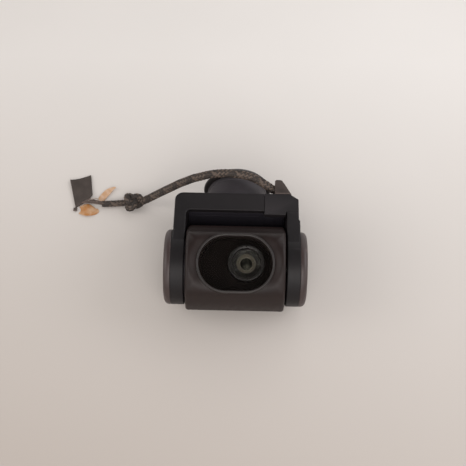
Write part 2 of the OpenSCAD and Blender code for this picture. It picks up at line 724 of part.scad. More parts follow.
module pitch_magnets() color("#6d6f74") in_head() translate([-pitch_magnet_x, 0, 0]) rotate([0, 90, 0])
    magnet_ring(pitch_bell_r, pitch_magnet_l);

module pitch_shaft() color("silver") in_head() x_disc(shaft_r, -cap_out + 0.75, -head_half);

module pitch_bell_screws() color("silver") in_head() translate([-plate_in, 0, 0])
    mirror([1, 0, 0]) rotate([0, 90, 0]) at_rotor_screws()
        screw(screw_head_r, screw_r, 0.6, plate_t + bell_disc);

module head_trunnion() color("#b9bcc1") in_head() difference() {
    union() {
        x_disc(trunnion_r, plate_in - eps, 15.6);
        x_disc(3, plate_in - 0.4, plate_in);
    }
    x_disc(trunnion_bore, 0, through);
}

// ---- Cable and what is on it ----

module cable_run() color("#2b2520") at_axis() tube(run_route, cable_d / 2);

// Rounded strand from one point to another
module strand(a, b, r) hull() {
    translate(a) sphere(r, $fn = 16);
    translate(b) sphere(r, $fn = 16);
}

// Overhand knot as three crossing strands, cut flat where the cable and the bundle meet it
module cable_knot() color("#2b2520") at_axis() difference() {
    union() {
        strand([-26.8, 26.5, -8.8], [-30.2, 26.2, -8.9], 1.6);
        strand([-27.9, 27, -8.7], [-28.8, 24.4, -9], 1.45);
        strand([-28.6, 25.8, -8.4], [-30.2, 27.4, -8.9], 1.35);
    }
    span([knot_ends[1], 20, -12], [knot_ends[1] + 5, 30, 0]);
    span([knot_ends[0] - 5, 20, -12], [knot_ends[0], 30, 0]);
}

module cable_bundle() color("#2b2520") at_axis() tube(bundle_route, bundle_d / 2);

module coax_wires() color("#8d8496") at_axis() {
    start = bundle_route[len(bundle_route) - 1];
    for (i = [0 : wires - 1]) strand([start.x - wire_r - 0.1, start.y + 0.5 - 0.25 * i, wire_z],
        [wire_end.x - 0.45 * i, wire_end.y - 0.32 * i, wire_z], wire_r);
}

module connector_board() color("#3d3833") at_axis() translate([0, 0, -axis_z])
    linear_extrude(connector_t) polygon(connector_plan);

module flex_tails() color("#c98a45") at_axis() translate([0, 0, -axis_z])
    for (plan = tail_plans) linear_extrude(tail_t) polygon(plan);

yoke_frame();
yoke_inner_cover();
yoke_cover_screws();
left_cap();
right_cap();
cable_cover();
cable_hood();
pitch_motor_base();
pitch_stator();
pitch_windings();
pitch_bearings();
trunnion_bearing();
pitch_flex_coil();
yoke_flex();
roll_bell();
roll_magnets();
roll_shaft();
roll_bell_screws();
roll_mount();
roll_stator();
roll_windings();
roll_bearings();
roll_motor_board();
roll_hub_cap();
head_front_shell();
head_rear_shell();
head_left_plate();
head_right_plate();
head_screws();
window_bezel();
window_glass();
light_baffle();
lens_barrel();
lens_retaining_ring();
front_lens();
aperture_stop();
middle_lens();
rear_lens();
lens_holder();
infrared_filter();
image_sensor();
sensor_board();
thermal_pad();
heat_sink();
main_board();
main_board_chips();
motion_sensor_board();
head_flex();
pitch_bell();
pitch_magnets();
pitch_shaft();
pitch_bell_screws();
head_trunnion();
cable_run();
cable_knot();
cable_bundle();
coax_wires();
connector_board();
flex_tails();
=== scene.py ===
"""Looks of the camera gimbal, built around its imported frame.

Lengths in this file are millimetres, measured from where the roll and pitch axes cross, unless a
name says otherwise. The place matrices turn them into the frame's metres. In the camera head's own
frame X runs along the pitch axis, Y up the picture and Z along the lens.
"""
import json
import math
import random

import bmesh
import bpy
from mathutils import Matrix, Vector
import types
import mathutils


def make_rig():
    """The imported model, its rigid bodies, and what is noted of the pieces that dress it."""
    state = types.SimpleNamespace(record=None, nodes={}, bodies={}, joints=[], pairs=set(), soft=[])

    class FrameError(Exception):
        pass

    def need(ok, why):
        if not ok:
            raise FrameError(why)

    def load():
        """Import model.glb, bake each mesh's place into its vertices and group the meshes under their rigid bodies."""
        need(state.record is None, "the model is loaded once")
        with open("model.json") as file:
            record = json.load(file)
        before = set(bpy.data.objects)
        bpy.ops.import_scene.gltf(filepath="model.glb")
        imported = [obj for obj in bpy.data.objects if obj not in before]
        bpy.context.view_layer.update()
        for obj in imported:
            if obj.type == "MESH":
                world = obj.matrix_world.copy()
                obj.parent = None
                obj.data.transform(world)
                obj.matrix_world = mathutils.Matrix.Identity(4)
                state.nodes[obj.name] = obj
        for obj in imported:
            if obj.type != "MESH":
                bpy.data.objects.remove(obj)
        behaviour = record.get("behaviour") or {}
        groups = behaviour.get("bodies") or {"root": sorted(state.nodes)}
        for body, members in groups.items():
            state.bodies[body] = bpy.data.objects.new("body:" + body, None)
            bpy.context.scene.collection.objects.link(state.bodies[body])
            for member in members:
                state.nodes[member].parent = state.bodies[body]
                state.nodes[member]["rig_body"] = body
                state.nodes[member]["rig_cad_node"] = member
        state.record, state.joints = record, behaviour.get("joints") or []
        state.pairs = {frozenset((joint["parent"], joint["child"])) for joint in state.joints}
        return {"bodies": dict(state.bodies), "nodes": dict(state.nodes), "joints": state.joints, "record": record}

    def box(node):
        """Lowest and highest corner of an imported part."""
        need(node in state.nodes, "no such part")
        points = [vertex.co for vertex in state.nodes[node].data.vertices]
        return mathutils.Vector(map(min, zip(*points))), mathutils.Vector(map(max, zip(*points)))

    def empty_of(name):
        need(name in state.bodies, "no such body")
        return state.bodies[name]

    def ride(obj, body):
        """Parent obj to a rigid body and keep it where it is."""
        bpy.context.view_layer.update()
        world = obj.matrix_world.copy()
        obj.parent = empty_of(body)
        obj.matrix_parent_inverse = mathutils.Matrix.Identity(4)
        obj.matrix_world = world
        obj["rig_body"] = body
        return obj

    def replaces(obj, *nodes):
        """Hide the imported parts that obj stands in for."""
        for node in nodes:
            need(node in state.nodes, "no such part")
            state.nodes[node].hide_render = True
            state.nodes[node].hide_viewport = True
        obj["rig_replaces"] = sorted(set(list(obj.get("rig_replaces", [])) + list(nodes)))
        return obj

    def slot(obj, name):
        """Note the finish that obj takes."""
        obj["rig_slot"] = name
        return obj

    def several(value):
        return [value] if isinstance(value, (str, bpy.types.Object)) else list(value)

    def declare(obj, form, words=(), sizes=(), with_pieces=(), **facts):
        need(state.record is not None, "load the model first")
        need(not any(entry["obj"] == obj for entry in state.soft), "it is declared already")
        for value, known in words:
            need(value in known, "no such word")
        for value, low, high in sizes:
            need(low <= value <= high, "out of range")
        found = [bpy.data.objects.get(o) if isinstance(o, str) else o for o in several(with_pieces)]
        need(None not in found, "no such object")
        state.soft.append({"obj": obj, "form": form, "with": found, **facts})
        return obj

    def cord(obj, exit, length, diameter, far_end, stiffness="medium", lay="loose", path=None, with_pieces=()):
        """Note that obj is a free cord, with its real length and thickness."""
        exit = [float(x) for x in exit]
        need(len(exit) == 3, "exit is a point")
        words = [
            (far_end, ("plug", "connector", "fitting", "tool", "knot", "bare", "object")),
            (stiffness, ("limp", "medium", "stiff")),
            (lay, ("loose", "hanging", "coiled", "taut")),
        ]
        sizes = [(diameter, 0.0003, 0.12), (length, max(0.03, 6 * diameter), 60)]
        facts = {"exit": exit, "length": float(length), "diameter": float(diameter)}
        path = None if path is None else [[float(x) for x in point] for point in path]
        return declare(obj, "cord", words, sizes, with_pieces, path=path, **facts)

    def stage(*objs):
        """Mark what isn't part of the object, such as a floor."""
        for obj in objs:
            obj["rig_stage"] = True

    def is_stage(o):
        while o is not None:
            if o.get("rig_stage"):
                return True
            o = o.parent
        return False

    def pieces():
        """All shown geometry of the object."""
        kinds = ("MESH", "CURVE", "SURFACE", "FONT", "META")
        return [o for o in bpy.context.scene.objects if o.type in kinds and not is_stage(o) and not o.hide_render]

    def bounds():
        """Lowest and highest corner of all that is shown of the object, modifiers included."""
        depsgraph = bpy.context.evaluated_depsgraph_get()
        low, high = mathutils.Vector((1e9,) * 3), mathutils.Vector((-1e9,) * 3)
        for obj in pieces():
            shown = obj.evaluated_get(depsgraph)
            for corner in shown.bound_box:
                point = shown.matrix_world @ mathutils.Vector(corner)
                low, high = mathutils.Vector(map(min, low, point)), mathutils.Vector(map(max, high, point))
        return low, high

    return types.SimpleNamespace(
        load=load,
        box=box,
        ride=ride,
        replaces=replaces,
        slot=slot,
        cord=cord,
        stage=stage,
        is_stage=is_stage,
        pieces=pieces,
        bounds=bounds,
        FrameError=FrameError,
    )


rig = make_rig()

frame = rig.load()
cad_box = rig.bounds()

MM = 0.001
JOINTS = {joint["name"]: joint for joint in frame["joints"]}
AXES = Vector(JOINTS["pitch"]["pos_m"])
FLOOR = -AXES.z / MM
LENS_TILT = math.radians(65)

# ---------------------------------------------------------------- places

BODY_PLACE = Matrix.Translation(AXES) @ Matrix.Diagonal((MM, MM, MM, 1))
HEAD_PLACE = BODY_PLACE @ Matrix.Rotation(math.pi / 2 - LENS_TILT, 4, "X")
ALONG_X = Matrix.Rotation(math.pi / 2, 4, "Y")
ALONG_Y = Matrix.Rotation(-math.pi / 2, 4, "X")
MIRROR_X = Matrix.Diagonal((-1, 1, 1, 1))


LOW, HIGH = 0, 1
X, Y = 0, 1


def reach(node, side, axis):
    """A CAD node's lowest or highest place along one axis, in millimetres from the axes."""
    return (BODY_PLACE.inverted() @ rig.box(node)[side])[axis]


# ---------------------------------------------------------------- camera and light

CAMERA_DISTANCE = 240
CAMERA_ELEVATION = math.radians(58)
CAMERA_ROLL = math.radians(1.0)
PIXELS_PER_MM = 4
IMAGE_SIZE = 466
AIM = (-0.78, 8.75)      # the view's middle, left of and above the axes, across the line of sight


def make_camera():
    data = bpy.data.cameras.new("camera")
    data.sensor_width = 36
    data.lens = PIXELS_PER_MM * CAMERA_DISTANCE / IMAGE_SIZE * data.sensor_width
    data.clip_start = 0.01
    camera = bpy.data.objects.new("camera", data)
    bpy.context.scene.collection.objects.link(camera)
    sight = Vector((0, math.cos(CAMERA_ELEVATION), -math.sin(CAMERA_ELEVATION)))
    up = Vector((0, math.sin(CAMERA_ELEVATION), math.cos(CAMERA_ELEVATION)))
    place = AXES - sight * CAMERA_DISTANCE * MM
    target = AXES + (Vector((1, 0, 0)) * AIM[0] + up * AIM[1]) * MM
    turn = (target - place).to_track_quat("-Z", "Y").to_matrix().to_4x4()
    camera.matrix_world = Matrix.Translation(place) @ turn @ Matrix.Rotation(CAMERA_ROLL, 4, "Z")
    bpy.context.scene.camera = camera


def make_light(name, place, size, power, colour):
    data = bpy.data.lights.new(name, "AREA")
    data.shape = "DISK"
    data.size = size * MM
    data.energy = power
    data.color = colour
    light = bpy.data.objects.new(name, data)
    bpy.context.scene.collection.objects.link(light)
    light.location = AXES + Vector(place) * MM
    light.rotation_euler = (AXES - light.location).to_track_quat("-Z", "Y").to_euler()


def make_world(colour, horizon, zenith, front, back):
    """Room light that fades from pale walls to a dim ceiling, stronger from the viewer's side."""
    world = bpy.data.worlds.new("room")
    world.use_nodes = True
    tree = world.node_tree
    shader = tree.nodes["Background"]
    shader.inputs["Color"].default_value = (*colour, 1)
    heading = tree.nodes.new("ShaderNodeTexCoord")
    split = tree.nodes.new("ShaderNodeSeparateXYZ")
    tree.links.new(heading.outputs["Generated"], split.inputs["Vector"])
    both = tree.nodes.new("ShaderNodeMath")
    both.operation = "MULTIPLY"
    spans = {"Z": (0.15, 0.9, horizon, zenith), "Y": (-0.4, 0.6, front, back)}
    for socket, (axis, span) in zip(both.inputs, spans.items()):
        fade = tree.nodes.new("ShaderNodeMapRange")
        fade.interpolation_type = "SMOOTHSTEP"
        for key, value in zip(("From Min", "From Max", "To Min", "To Max"), span):
            fade.inputs[key].default_value = value
        tree.links.new(split.outputs[axis], fade.inputs["Value"])
        tree.links.new(fade.outputs["Result"], socket)
    tree.links.new(both.outputs[0], shader.inputs["Strength"])
    bpy.context.scene.world = world


make_camera()
bpy.context.scene.view_settings.view_transform = "Standard"
make_world((1.0, 0.98, 0.97), 1.5, 0.25, 1.15, 0.65)
make_light("window_light", (160, 330, 330), 420, 0.30, (1.0, 0.99, 0.985))
make_light("left_light", (-380, -20, 260), 300, 0.45, (1.0, 0.96, 0.93))
make_light("right_light", (380, 60, 260), 300, 0.55, (0.98, 0.97, 1.0))
make_light("room_light", (30, -340, 330), 360, 0.95, (1.0, 0.95, 0.92))


# ---------------------------------------------------------------- materials

class Nodes:
    """A short way to write a material's node tree."""

    def __init__(self, name):
        self.material = bpy.data.materials.new(name)
        self.material.use_nodes = True
        self.tree = self.material.node_tree
        self.shader = self.tree.nodes["Principled BSDF"]

    def add(self, kind, **values):
        node = self.tree.nodes.new(kind)
        for key, value in values.items():
            setattr(node, key, value)
        return node

    def join(self, source, target):
        self.tree.links.new(source, target)

    def feed(self, socket, source):
        self.join(source, self.shader.inputs[socket])

    def set(self, **values):
        for key, value in values.items():
            self.shader.inputs[key.replace("_", " ")].default_value = value

    def place(self, scale=(1000.0, 1000.0, 1000.0)):
        """Object coordinates, in millimetres unless another scale is given."""
        coordinates = self.add("ShaderNodeTexCoord")
        mapping = self.add("ShaderNodeMapping")
        mapping.inputs["Scale"].default_value = scale
        self.join(coordinates.outputs["Object"], mapping.inputs["Vector"])
        return mapping.outputs["Vector"]

    def stretch(self, where, scale):
        mapping = self.add("ShaderNodeMapping")
        mapping.inputs["Scale"].default_value = scale
        self.join(where, mapping.inputs["Vector"])
        return mapping.outputs["Vector"]

    def noise(self, where, scale, detail, rough=0.55):
        node = self.add("ShaderNodeTexNoise")
        node.inputs["Scale"].default_value = scale
        node.inputs["Detail"].default_value = detail
        node.inputs["Roughness"].default_value = rough
        self.join(where, node.inputs["Vector"])
        return node.outputs["Fac"]

    def ramp(self, fac, stops):
        node = self.add("ShaderNodeValToRGB")
        ramp = node.color_ramp
        while len(ramp.elements) < len(stops):
            ramp.elements.new(0.5)
        for element, (position, colour) in zip(ramp.elements, stops):
            element.position = position
            element.color = (*colour, 1)
        self.join(fac, node.inputs["Fac"])
        return node.outputs["Color"]

    def levels(self, fac, low, high, start=0.0, end=1.0):
        node = self.add("ShaderNodeMapRange")
        node.inputs["From Min"].default_value = start
        node.inputs["From Max"].default_value = end
        node.inputs["To Min"].default_value = low
        node.inputs["To Max"].default_value = high
        self.join(fac, node.inputs["Value"])
        return node.outputs["Result"]

    def mix(self, fac, first, second):
        node = self.add("ShaderNodeMix", data_type="RGBA")
        self.join(fac, node.inputs[0])
        for socket, colour in ((node.inputs[6], first), (node.inputs[7], second)):
            if isinstance(colour, tuple):
                socket.default_value = (*colour, 1)
            else:
                self.join(colour, socket)
        return node.outputs[2]

    def bump(self, height, strength, distance):
        node = self.add("ShaderNodeBump")
        node.inputs["Strength"].default_value = strength
        node.inputs["Distance"].default_value = distance * MM
        self.join(height, node.inputs["Height"])
        return node.outputs["Normal"]

    def worn(self):
        """1 along convex edges and corners, 0 on flat ground, as rubbed plastic shows it."""
        geometry = self.add("ShaderNodeNewGeometry")
        return self.levels(geometry.outputs["Pointiness"], 0, 1, 0.53, 0.62)


def shade(colour, factor):
    return tuple(c * factor for c in colour)


def moulded(name, colour, rough, grain=7.0, depth=0.5, spread=0.14, shine=0.25, other=None):
    """Spark-eroded moulded plastic: fine grain, faint clouds, handling marks and rubbed edges.

    Where another colour is given, about four in ten of the separate pieces have it.
    """
    nodes = Nodes(name)
    where = nodes.place()
    cloud = nodes.noise(where, 0.35, 4)
    fine = nodes.noise(where, grain, 2, 0.6)
    smear = nodes.noise(nodes.stretch(where, (1.0, 0.25, 0.6)), 0.7, 3, 0.5)
    colours = nodes.ramp(cloud, [(0.3, shade(colour, 1 - spread)), (0.7, shade(colour, 1 + spread))])
    if other:
        piece = nodes.add("ShaderNodeNewGeometry").outputs["Random Per Island"]
        colours = nodes.mix(nodes.levels(piece, 0, 1, 0.58, 0.62), colours, other)
    edges = nodes.mix(nodes.worn(), colours, shade(colour, 1.9))
    nodes.feed("Base Color", edges)
    nodes.feed("Roughness", nodes.levels(smear, rough - 0.03, rough + 0.05, 0.3, 0.7))
    nodes.set(Specular_IOR_Level=shine)
    nodes.feed("Normal", nodes.bump(fine, depth, 0.02))
    return nodes.material


def metal(name, colour, rough, metallic=1.0, brush=(1, 1, 1), depth=0.3):
    """Metal with turned or brushed marks, whose direction is the stretch of its noise."""
    nodes = Nodes(name)
    where = nodes.stretch(nodes.place(), brush)
    marks = nodes.noise(where, 4.0, 4, 0.6)
    nodes.set(Metallic=metallic)
    colours = nodes.ramp(marks, [(0.35, shade(colour, 0.85)), (0.65, shade(colour, 1.12))])
    nodes.feed("Base Color", colours)
    nodes.feed("Roughness", nodes.levels(marks, rough - 0.07, rough + 0.1))
    nodes.feed("Normal", nodes.bump(marks, depth, 0.01))
    return nodes.material


def coated_glass(name, colour, alpha, rough=0.03):
    """Thin coated glass: clear, with a faint tinted reflection and a little dust."""
    nodes = Nodes(name)
    nodes.set(Metallic=1.0, Base_Color=(*colour, 1), Alpha=alpha)
    dust = nodes.noise(nodes.place(), 1.2, 5)
    nodes.feed("Roughness", nodes.levels(dust, rough, rough + 0.05))
    return nodes.material


def braid_material():
    """Dark brown-black braid, with some whole strands painted paler as a painted highlight on the thread crowns."""
    nodes = Nodes("cable_braid")
    where = nodes.place()
    threads = nodes.noise(nodes.stretch(where, (0.8, 2.6, 2.6)), 2.4, 4, 0.7)
    lint = nodes.noise(where, 9.0, 3, 0.7)
    colours = nodes.ramp(threads, [(0.32, (0.010, 0.0070, 0.0056)), (0.55, (0.024, 0.0165, 0.0130)),
                                   (0.75, (0.070, 0.048, 0.036))])
    strand = nodes.add("ShaderNodeNewGeometry").outputs["Random Per Island"]
    # painted highlight: strands picked at random per strand are painted paler, standing in for light caught on the
    # thread crowns
    pale = nodes.mix(nodes.levels(strand, 0, 0.8, 0.55, 0.8), colours, (0.115, 0.082, 0.062))
    nodes.feed("Base Color", nodes.mix(nodes.levels(lint, 0, 0.2, 0.5, 0.8), pale, (0.12, 0.09, 0.07)))
    nodes.feed("Roughness", nodes.levels(threads, 0.5, 0.75))
    nodes.feed("Normal", nodes.bump(lint, 0.6, 0.03))
    return nodes.material


def film_material(name, pale, strong, scale=0.5):
    """Amber flexible film: uneven colour, fine copper tracks showing through and a soft gloss."""
    nodes = Nodes(name)
    where = nodes.place()
    cloud = nodes.noise(where, scale, 3)
    tracks = nodes.add("ShaderNodeTexWave", wave_type="BANDS", bands_direction="X")
    tracks.inputs["Scale"].default_value = 0.9
    tracks.inputs["Distortion"].default_value = 1.2
    nodes.join(where, tracks.inputs["Vector"])
    colours = nodes.ramp(cloud, [(0.36, pale), (0.6, strong)])
    line = nodes.levels(tracks.outputs["Fac"], 0, 0.35, 0.75, 0.95)
    nodes.feed("Base Color", nodes.mix(line, colours, shade(strong, 0.55)))
    nodes.feed("Roughness", nodes.levels(cloud, 0.28, 0.42))
    nodes.feed("Normal", nodes.bump(tracks.outputs["Fac"], 0.3, 0.02))
    return nodes.material


def board_material():
    """Green solder mask with copper tracks under it."""
    nodes = Nodes("circuit_board")
    where = nodes.place()
    cells = nodes.add("ShaderNodeTexVoronoi", feature="DISTANCE_TO_EDGE", distance="CHEBYCHEV")
    cells.inputs["Scale"].default_value = 0.9
    nodes.join(where, cells.inputs["Vector"])
    track = nodes.levels(cells.outputs["Distance"], 1, 0, 0.03, 0.06)
    nodes.feed("Base Color", nodes.mix(track, (0.012, 0.06, 0.035), (0.03, 0.13, 0.07)))
    nodes.set(Roughness=0.3)
    nodes.feed("Normal", nodes.bump(track, 0.5, 0.03))
    return nodes.material


YOKE_COLOUR = (0.0080, 0.0066, 0.0072)
HEAD_COLOUR = (0.0118, 0.0063, 0.0054)
CAP_COLOUR = (0.033, 0.0205, 0.0192)

MATERIALS = {
    "yoke_plastic": moulded("yoke_plastic", YOKE_COLOUR, 0.46, shine=0.23),
    # painted light: the cover's plastic is the yoke's colour made 1.4 times lighter, standing in for the brighter
    # light on the bridge's right end
    "cover_plastic": moulded("cover_plastic", shade(YOKE_COLOUR, 1.4), 0.46, shine=0.26),
    "cap_plastic": moulded("cap_plastic", CAP_COLOUR, 0.40, shine=0.45),
    "inner_cover_plastic": moulded("inner_cover_plastic", (0.0110, 0.0098, 0.0125), 0.5, shine=0.16),
    "hood_plastic": moulded("hood_plastic", (0.047, 0.036, 0.032), 0.72, 3.2, 1.0, 0.3),
    "head_plastic": moulded("head_plastic", HEAD_COLOUR, 0.44, shine=0.26),
    "bezel_plastic": moulded("bezel_plastic", (0.016, 0.0125, 0.0115), 0.36, 9.0, 0.2, shine=0.4),
    "baffle_plastic": moulded("baffle_plastic", (0.0055, 0.0036, 0.0030), 0.8, 2.0, 0.0, 0.3, 0.05),
    "lens_barrel_plastic": moulded("lens_barrel_plastic", (0.0085, 0.0072, 0.0062), 0.28, 9.0, 0.1,
                                   shine=0.25),
    "lens_ring_metal": moulded("lens_ring_metal", (0.0070, 0.0060, 0.0050), 0.24, 9.0, 0.05, shine=0.3),
    "window_glass": coated_glass("window_glass", (0.055, 0.050, 0.046), 0.07, 0.15),
    "lens_glass": coated_glass("lens_glass", (0.11, 0.11, 0.085), 0.07, 0.15),
    "filter_glass": coated_glass("filter_glass", (0.42, 0.36, 0.20), 0.4),
    "sensor_chip": moulded("sensor_chip", (0.02, 0.02, 0.024), 0.3, 9.0, 0.2),
    "circuit_board": board_material(),
    "thermal_rubber": moulded("thermal_rubber", (0.2, 0.22, 0.25), 0.8, 3.0, 0.6),
    "motor_aluminium": metal("motor_aluminium", (0.55, 0.56, 0.58), 0.35, 1.0, (0.5, 4, 4)),
    "rotor_metal": metal("rotor_metal", (0.046, 0.040, 0.045), 0.52, 0.4, (0.2, 5, 0.2), 0.2),
    "flange_metal": metal("flange_metal", (0.034, 0.029, 0.029), 0.5, 0.35, (0.4, 3, 0.4), 0.2),
    "stator_steel": metal("stator_steel", (0.32, 0.32, 0.34), 0.45, 1.0, (6, 6, 0.5)),
    "bearing_steel": metal("bearing_steel", (0.62, 0.62, 0.64), 0.2),
    "screw_steel": metal("screw_steel", (0.11, 0.105, 0.105), 0.38),
    "magnet": metal("magnet", (0.42, 0.42, 0.44), 0.22),
    "copper": metal("copper", (0.72, 0.30, 0.13), 0.3, 1.0, (0.6, 0.6, 8), 0.8),
    "flex_film": film_material("flex_film", (0.56, 0.36, 0.22), (0.44, 0.19, 0.055)),
    "cable_braid": braid_material(),
    "coax_jacket": moulded("coax_jacket", (0.075, 0.055, 0.047), 0.45, 6.0, 0.3, 0.6,
                            other=(0.50, 0.43, 0.38)),
    "connector_plastic": moulded("connector_plastic", (0.058, 0.046, 0.040), 0.62, 4.0, 0.7, 0.2),
}


CAD_SHARP = 30           # degrees from which an edge is drawn sharp, on CAD nodes and on pieces
PIECE_SHARP = 32


def dress_nodes():
    """Gives every CAD node the material of its slot."""
    for part in frame["record"]["subparts"]:
        node = frame["nodes"][part["node"]]
        node.data.materials.clear()
        node.data.materials.append(MATERIALS[part["material_slot"]])
        for polygon in node.data.polygons:
            polygon.use_smooth = True
        node.data.set_sharp_from_angle(angle=math.radians(CAD_SHARP))


# ---------------------------------------------------------------- mesh tools

def from_bmesh(name, bm):
    bmesh.ops.recalc_face_normals(bm, faces=bm.faces)
    mesh = bpy.data.meshes.new(name)
    bm.to_mesh(mesh)
    bm.free()
    obj = bpy.data.objects.new(name, mesh)
    bpy.context.scene.collection.objects.link(obj)
    return obj


def bake(obj):
    """Turns an object's modifiers into its mesh."""
    bpy.context.view_layer.update()
    graph = bpy.context.evaluated_depsgraph_get()
    mesh = bpy.data.meshes.new_from_object(obj.evaluated_get(graph))
    old = obj.data
    obj.modifiers.clear()
    obj.data = mesh
    bpy.data.meshes.remove(old)
    return obj


def combine(obj, tools, operation="DIFFERENCE"):
    """Cuts the tools out of an object, or joins them to it, and removes them."""
    for tool in tools:
        modifier = obj.modifiers.new(operation, "BOOLEAN")
        modifier.operation = operation
        modifier.solver = "EXACT"
        modifier.object = tool
        bake(obj)
        bpy.data.objects.remove(tool)
    return obj


def merge(name, objects):
    """One object of several separate closed meshes."""
    bm = bmesh.new()
    for obj in objects:
        bm.from_mesh(obj.data)
        bpy.data.objects.remove(obj)
    return from_bmesh(name, bm)


def give(obj, body, slot, replaces, place=BODY_PLACE, material=None, angle=PIECE_SHARP):
    """Puts a finished piece in its place, on its body, in its material and with smooth shading."""
    mesh = obj.data
    mesh.transform(place)
    mesh.materials.clear()
    mesh.materials.append(material or MATERIALS[slot])
    for polygon in mesh.polygons:
        polygon.use_smooth = True
    mesh.set_sharp_from_angle(angle=math.radians(angle))
    modifier = obj.modifiers.new("weighted", "WEIGHTED_NORMAL")
    modifier.keep_sharp = True
    bake(obj)
    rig.ride(obj, body)
    if replaces:
        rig.replaces(obj, *replaces)
    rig.slot(obj, slot)
    return obj


def loft(name, rings, closed=False, turn=Matrix()):
    """Skin over rings of points. An open skin gets flat ends, and a ring of one point is a pole."""
    bm = bmesh.new()
    levels = [[bm.verts.new(turn @ Vector(point)) for point in ring] for ring in rings]
    pairs = list(zip(levels, levels[1:]))
    if closed:
        pairs.append((levels[-1], levels[0]))
    for a, b in pairs:
        count = max(len(a), len(b))
        if count == 1:
            continue
        for i in range(count):
            j = (i + 1) % count
            corners = [a[i % len(a)], a[j % len(a)], b[j % len(b)], b[i % len(b)]]
            bm.faces.new(list(dict.fromkeys(corners)))
    if not closed:
        for ring in (levels[0], levels[-1]):
            if len(ring) > 2:
                bm.faces.new(ring)
    return from_bmesh(name, bm)


def lathe(name, profile, turn, steps):
    """Closed profile of (radius, height) points turned about the Z axis."""
    rings = []
    for radius, height in profile:
        if radius < 1e-6:
            rings.append([(0, 0, height)])
        else:
            rings.append([(radius * math.cos(2 * math.pi * i / steps),
                           radius * math.sin(2 * math.pi * i / steps), height) for i in range(steps)])
    return loft(name, rings, True, turn)


def rounded(corners, steps):
    """Outline through corners (x, y, radius), each rounded by an arc of its radius."""
    points = []
    for i, (x, y, radius) in enumerate(corners):
        here = Vector((x, y))
        if not radius:
            points.append(here)
            continue
        before = (Vector(corners[i - 1][:2]) - here).normalized()
        after = (Vector(corners[(i + 1) % len(corners)][:2]) - here).normalized()
        half = before.angle(after) / 2
        middle = here + (before + after).normalized() * radius / math.sin(half)
        start = (here + before * radius / math.tan(half) - middle).normalized()
        end = (here + after * radius / math.tan(half) - middle).normalized()
        for k in range(steps + 1):
            points.append(middle + start.slerp(end, k / steps) * radius)
    return points


def inset(outline, distance):
    """Outline moved inwards by a distance. The outline runs anticlockwise."""
    moved = []
    for i, here in enumerate(outline):
        before = (here - outline[i - 1]).normalized()
        after = (outline[(i + 1) % len(outline)] - here).normalized()
        inward = Vector((-before.y, before.x)) + Vector((-after.y, after.x))
        inward.normalize()
        moved.append(here + inward * distance / max(0.3, inward.dot(Vector((-after.y, after.x)))))
    return moved


def anticlockwise(outline):
    area = sum(a.x * b.y - a.y * b.x for a, b in zip(outline, outline[1:] + outline[:1]))
    return outline if area > 0 else outline[::-1]


def slab(name, outline, low, high, edge, steps=4):
    """Plate of an outline between two heights, with both rims rounded."""
    outline = anticlockwise([Vector(point) for point in outline])
    rings = []
    for start, side in ((low, 1), (high, -1)):
        band = []
        for k in range(steps + 1):
            a = math.pi / 2 * k / steps
            height = start + side * edge * (1 - math.cos(a))
            ring = inset(outline, edge * (1 - math.sin(a)))
            band.append([(p.x, p.y, height) for p in ring])
        rings += band if side > 0 else band[::-1]
    return loft(name, rings)


def prism(name, outline, low, high):
    return loft(name, [[(x, y, z) for x, y in outline] for z in (low, high)])


def box(name, low, high, edge=0.0):
    outline = [(low[0], low[1]), (high[0], low[1]), (high[0], high[1]), (low[0], high[1])]
    if edge:
        return slab(name, outline, low[2], high[2], edge, 3)
    return prism(name, outline, low[2], high[2])


def cylinder(name, radius, low, high, turn, steps=96):
    return lathe(name, [(0, low), (radius, low), (radius, high), (0, high)], turn, steps)


def arc(x, y, radius, start, end, steps):
    """Points (x, y) along an arc, its angles in degrees."""
    angles = [math.radians(start + (end - start) * k / steps) for k in range(steps + 1)]
    return [(x + radius * math.cos(a), y + radius * math.sin(a)) for a in angles]


def solid_between(name, skins):
    """Closed solid between two grids of points that lie face to face."""
    bm = bmesh.new()
    grids = [[[bm.verts.new(point) for point in row] for row in skin] for skin in skins]
    columns, rows = len(skins[0]) - 1, len(skins[0][0]) - 1
    for grid in grids:
        for i in range(columns):
            for j in range(rows):
                bm.faces.new((grid[i][j], grid[i + 1][j], grid[i + 1][j + 1], grid[i][j + 1]))
    low, high = grids
    rim = ([(i, 0) for i in range(columns)] + [(columns, j) for j in range(rows)]
           + [(i, rows) for i in range(columns, 0, -1)] + [(0, j) for j in range(rows, 0, -1)])
    for (i, j), (m, n) in zip(rim, rim[1:] + rim[:1]):
        bm.faces.new((low[i][j], low[m][n], high[m][n], high[i][j]))
    return from_bmesh(name, bm)


def sheet_solid(name, columns, rows, place, thick):
    """Closed curved sheet of an even thickness. place(u, v) gives its lower face."""
    lower = [[place(i / columns, j / rows) for j in range(rows + 1)] for i in range(columns + 1)]
    upper = [[point + Vector((0, 0, thick)) for point in row] for row in lower]
    return solid_between(name, (lower, upper))


# ---------------------------------------------------------------- tubes

def smooth_route(points, spacing):
    """Points at even steps along a smooth curve through the given ones."""
    points = [Vector(point) for point in points]
    ends = [points[0] * 2 - points[1]] + points + [points[-1] * 2 - points[-2]]
    fine = []
    steps = 12
    for a, b, c, d in zip(ends, ends[1:], ends[2:], ends[3:]):
        for k in range(steps):
            t = k / steps
            fine.append(0.5 * (2 * b + (c - a) * t + (2 * a - 5 * b + 4 * c - d) * t * t
                               + (3 * b - a - 3 * c + d) * t ** 3))
    fine.append(points[-1])
    lengths = [0.0]
    for a, b in zip(fine, fine[1:]):
        lengths.append(lengths[-1] + (b - a).length)
    count = max(2, round(lengths[-1] / spacing))
    even = []
    i = 0
    for k in range(count + 1):
        want = lengths[-1] * k / count
        while i < len(lengths) - 2 and lengths[i + 1] < want:
            i += 1
        part = (want - lengths[i]) / (lengths[i + 1] - lengths[i])
        even.append(fine[i].lerp(fine[i + 1], part))
    return even


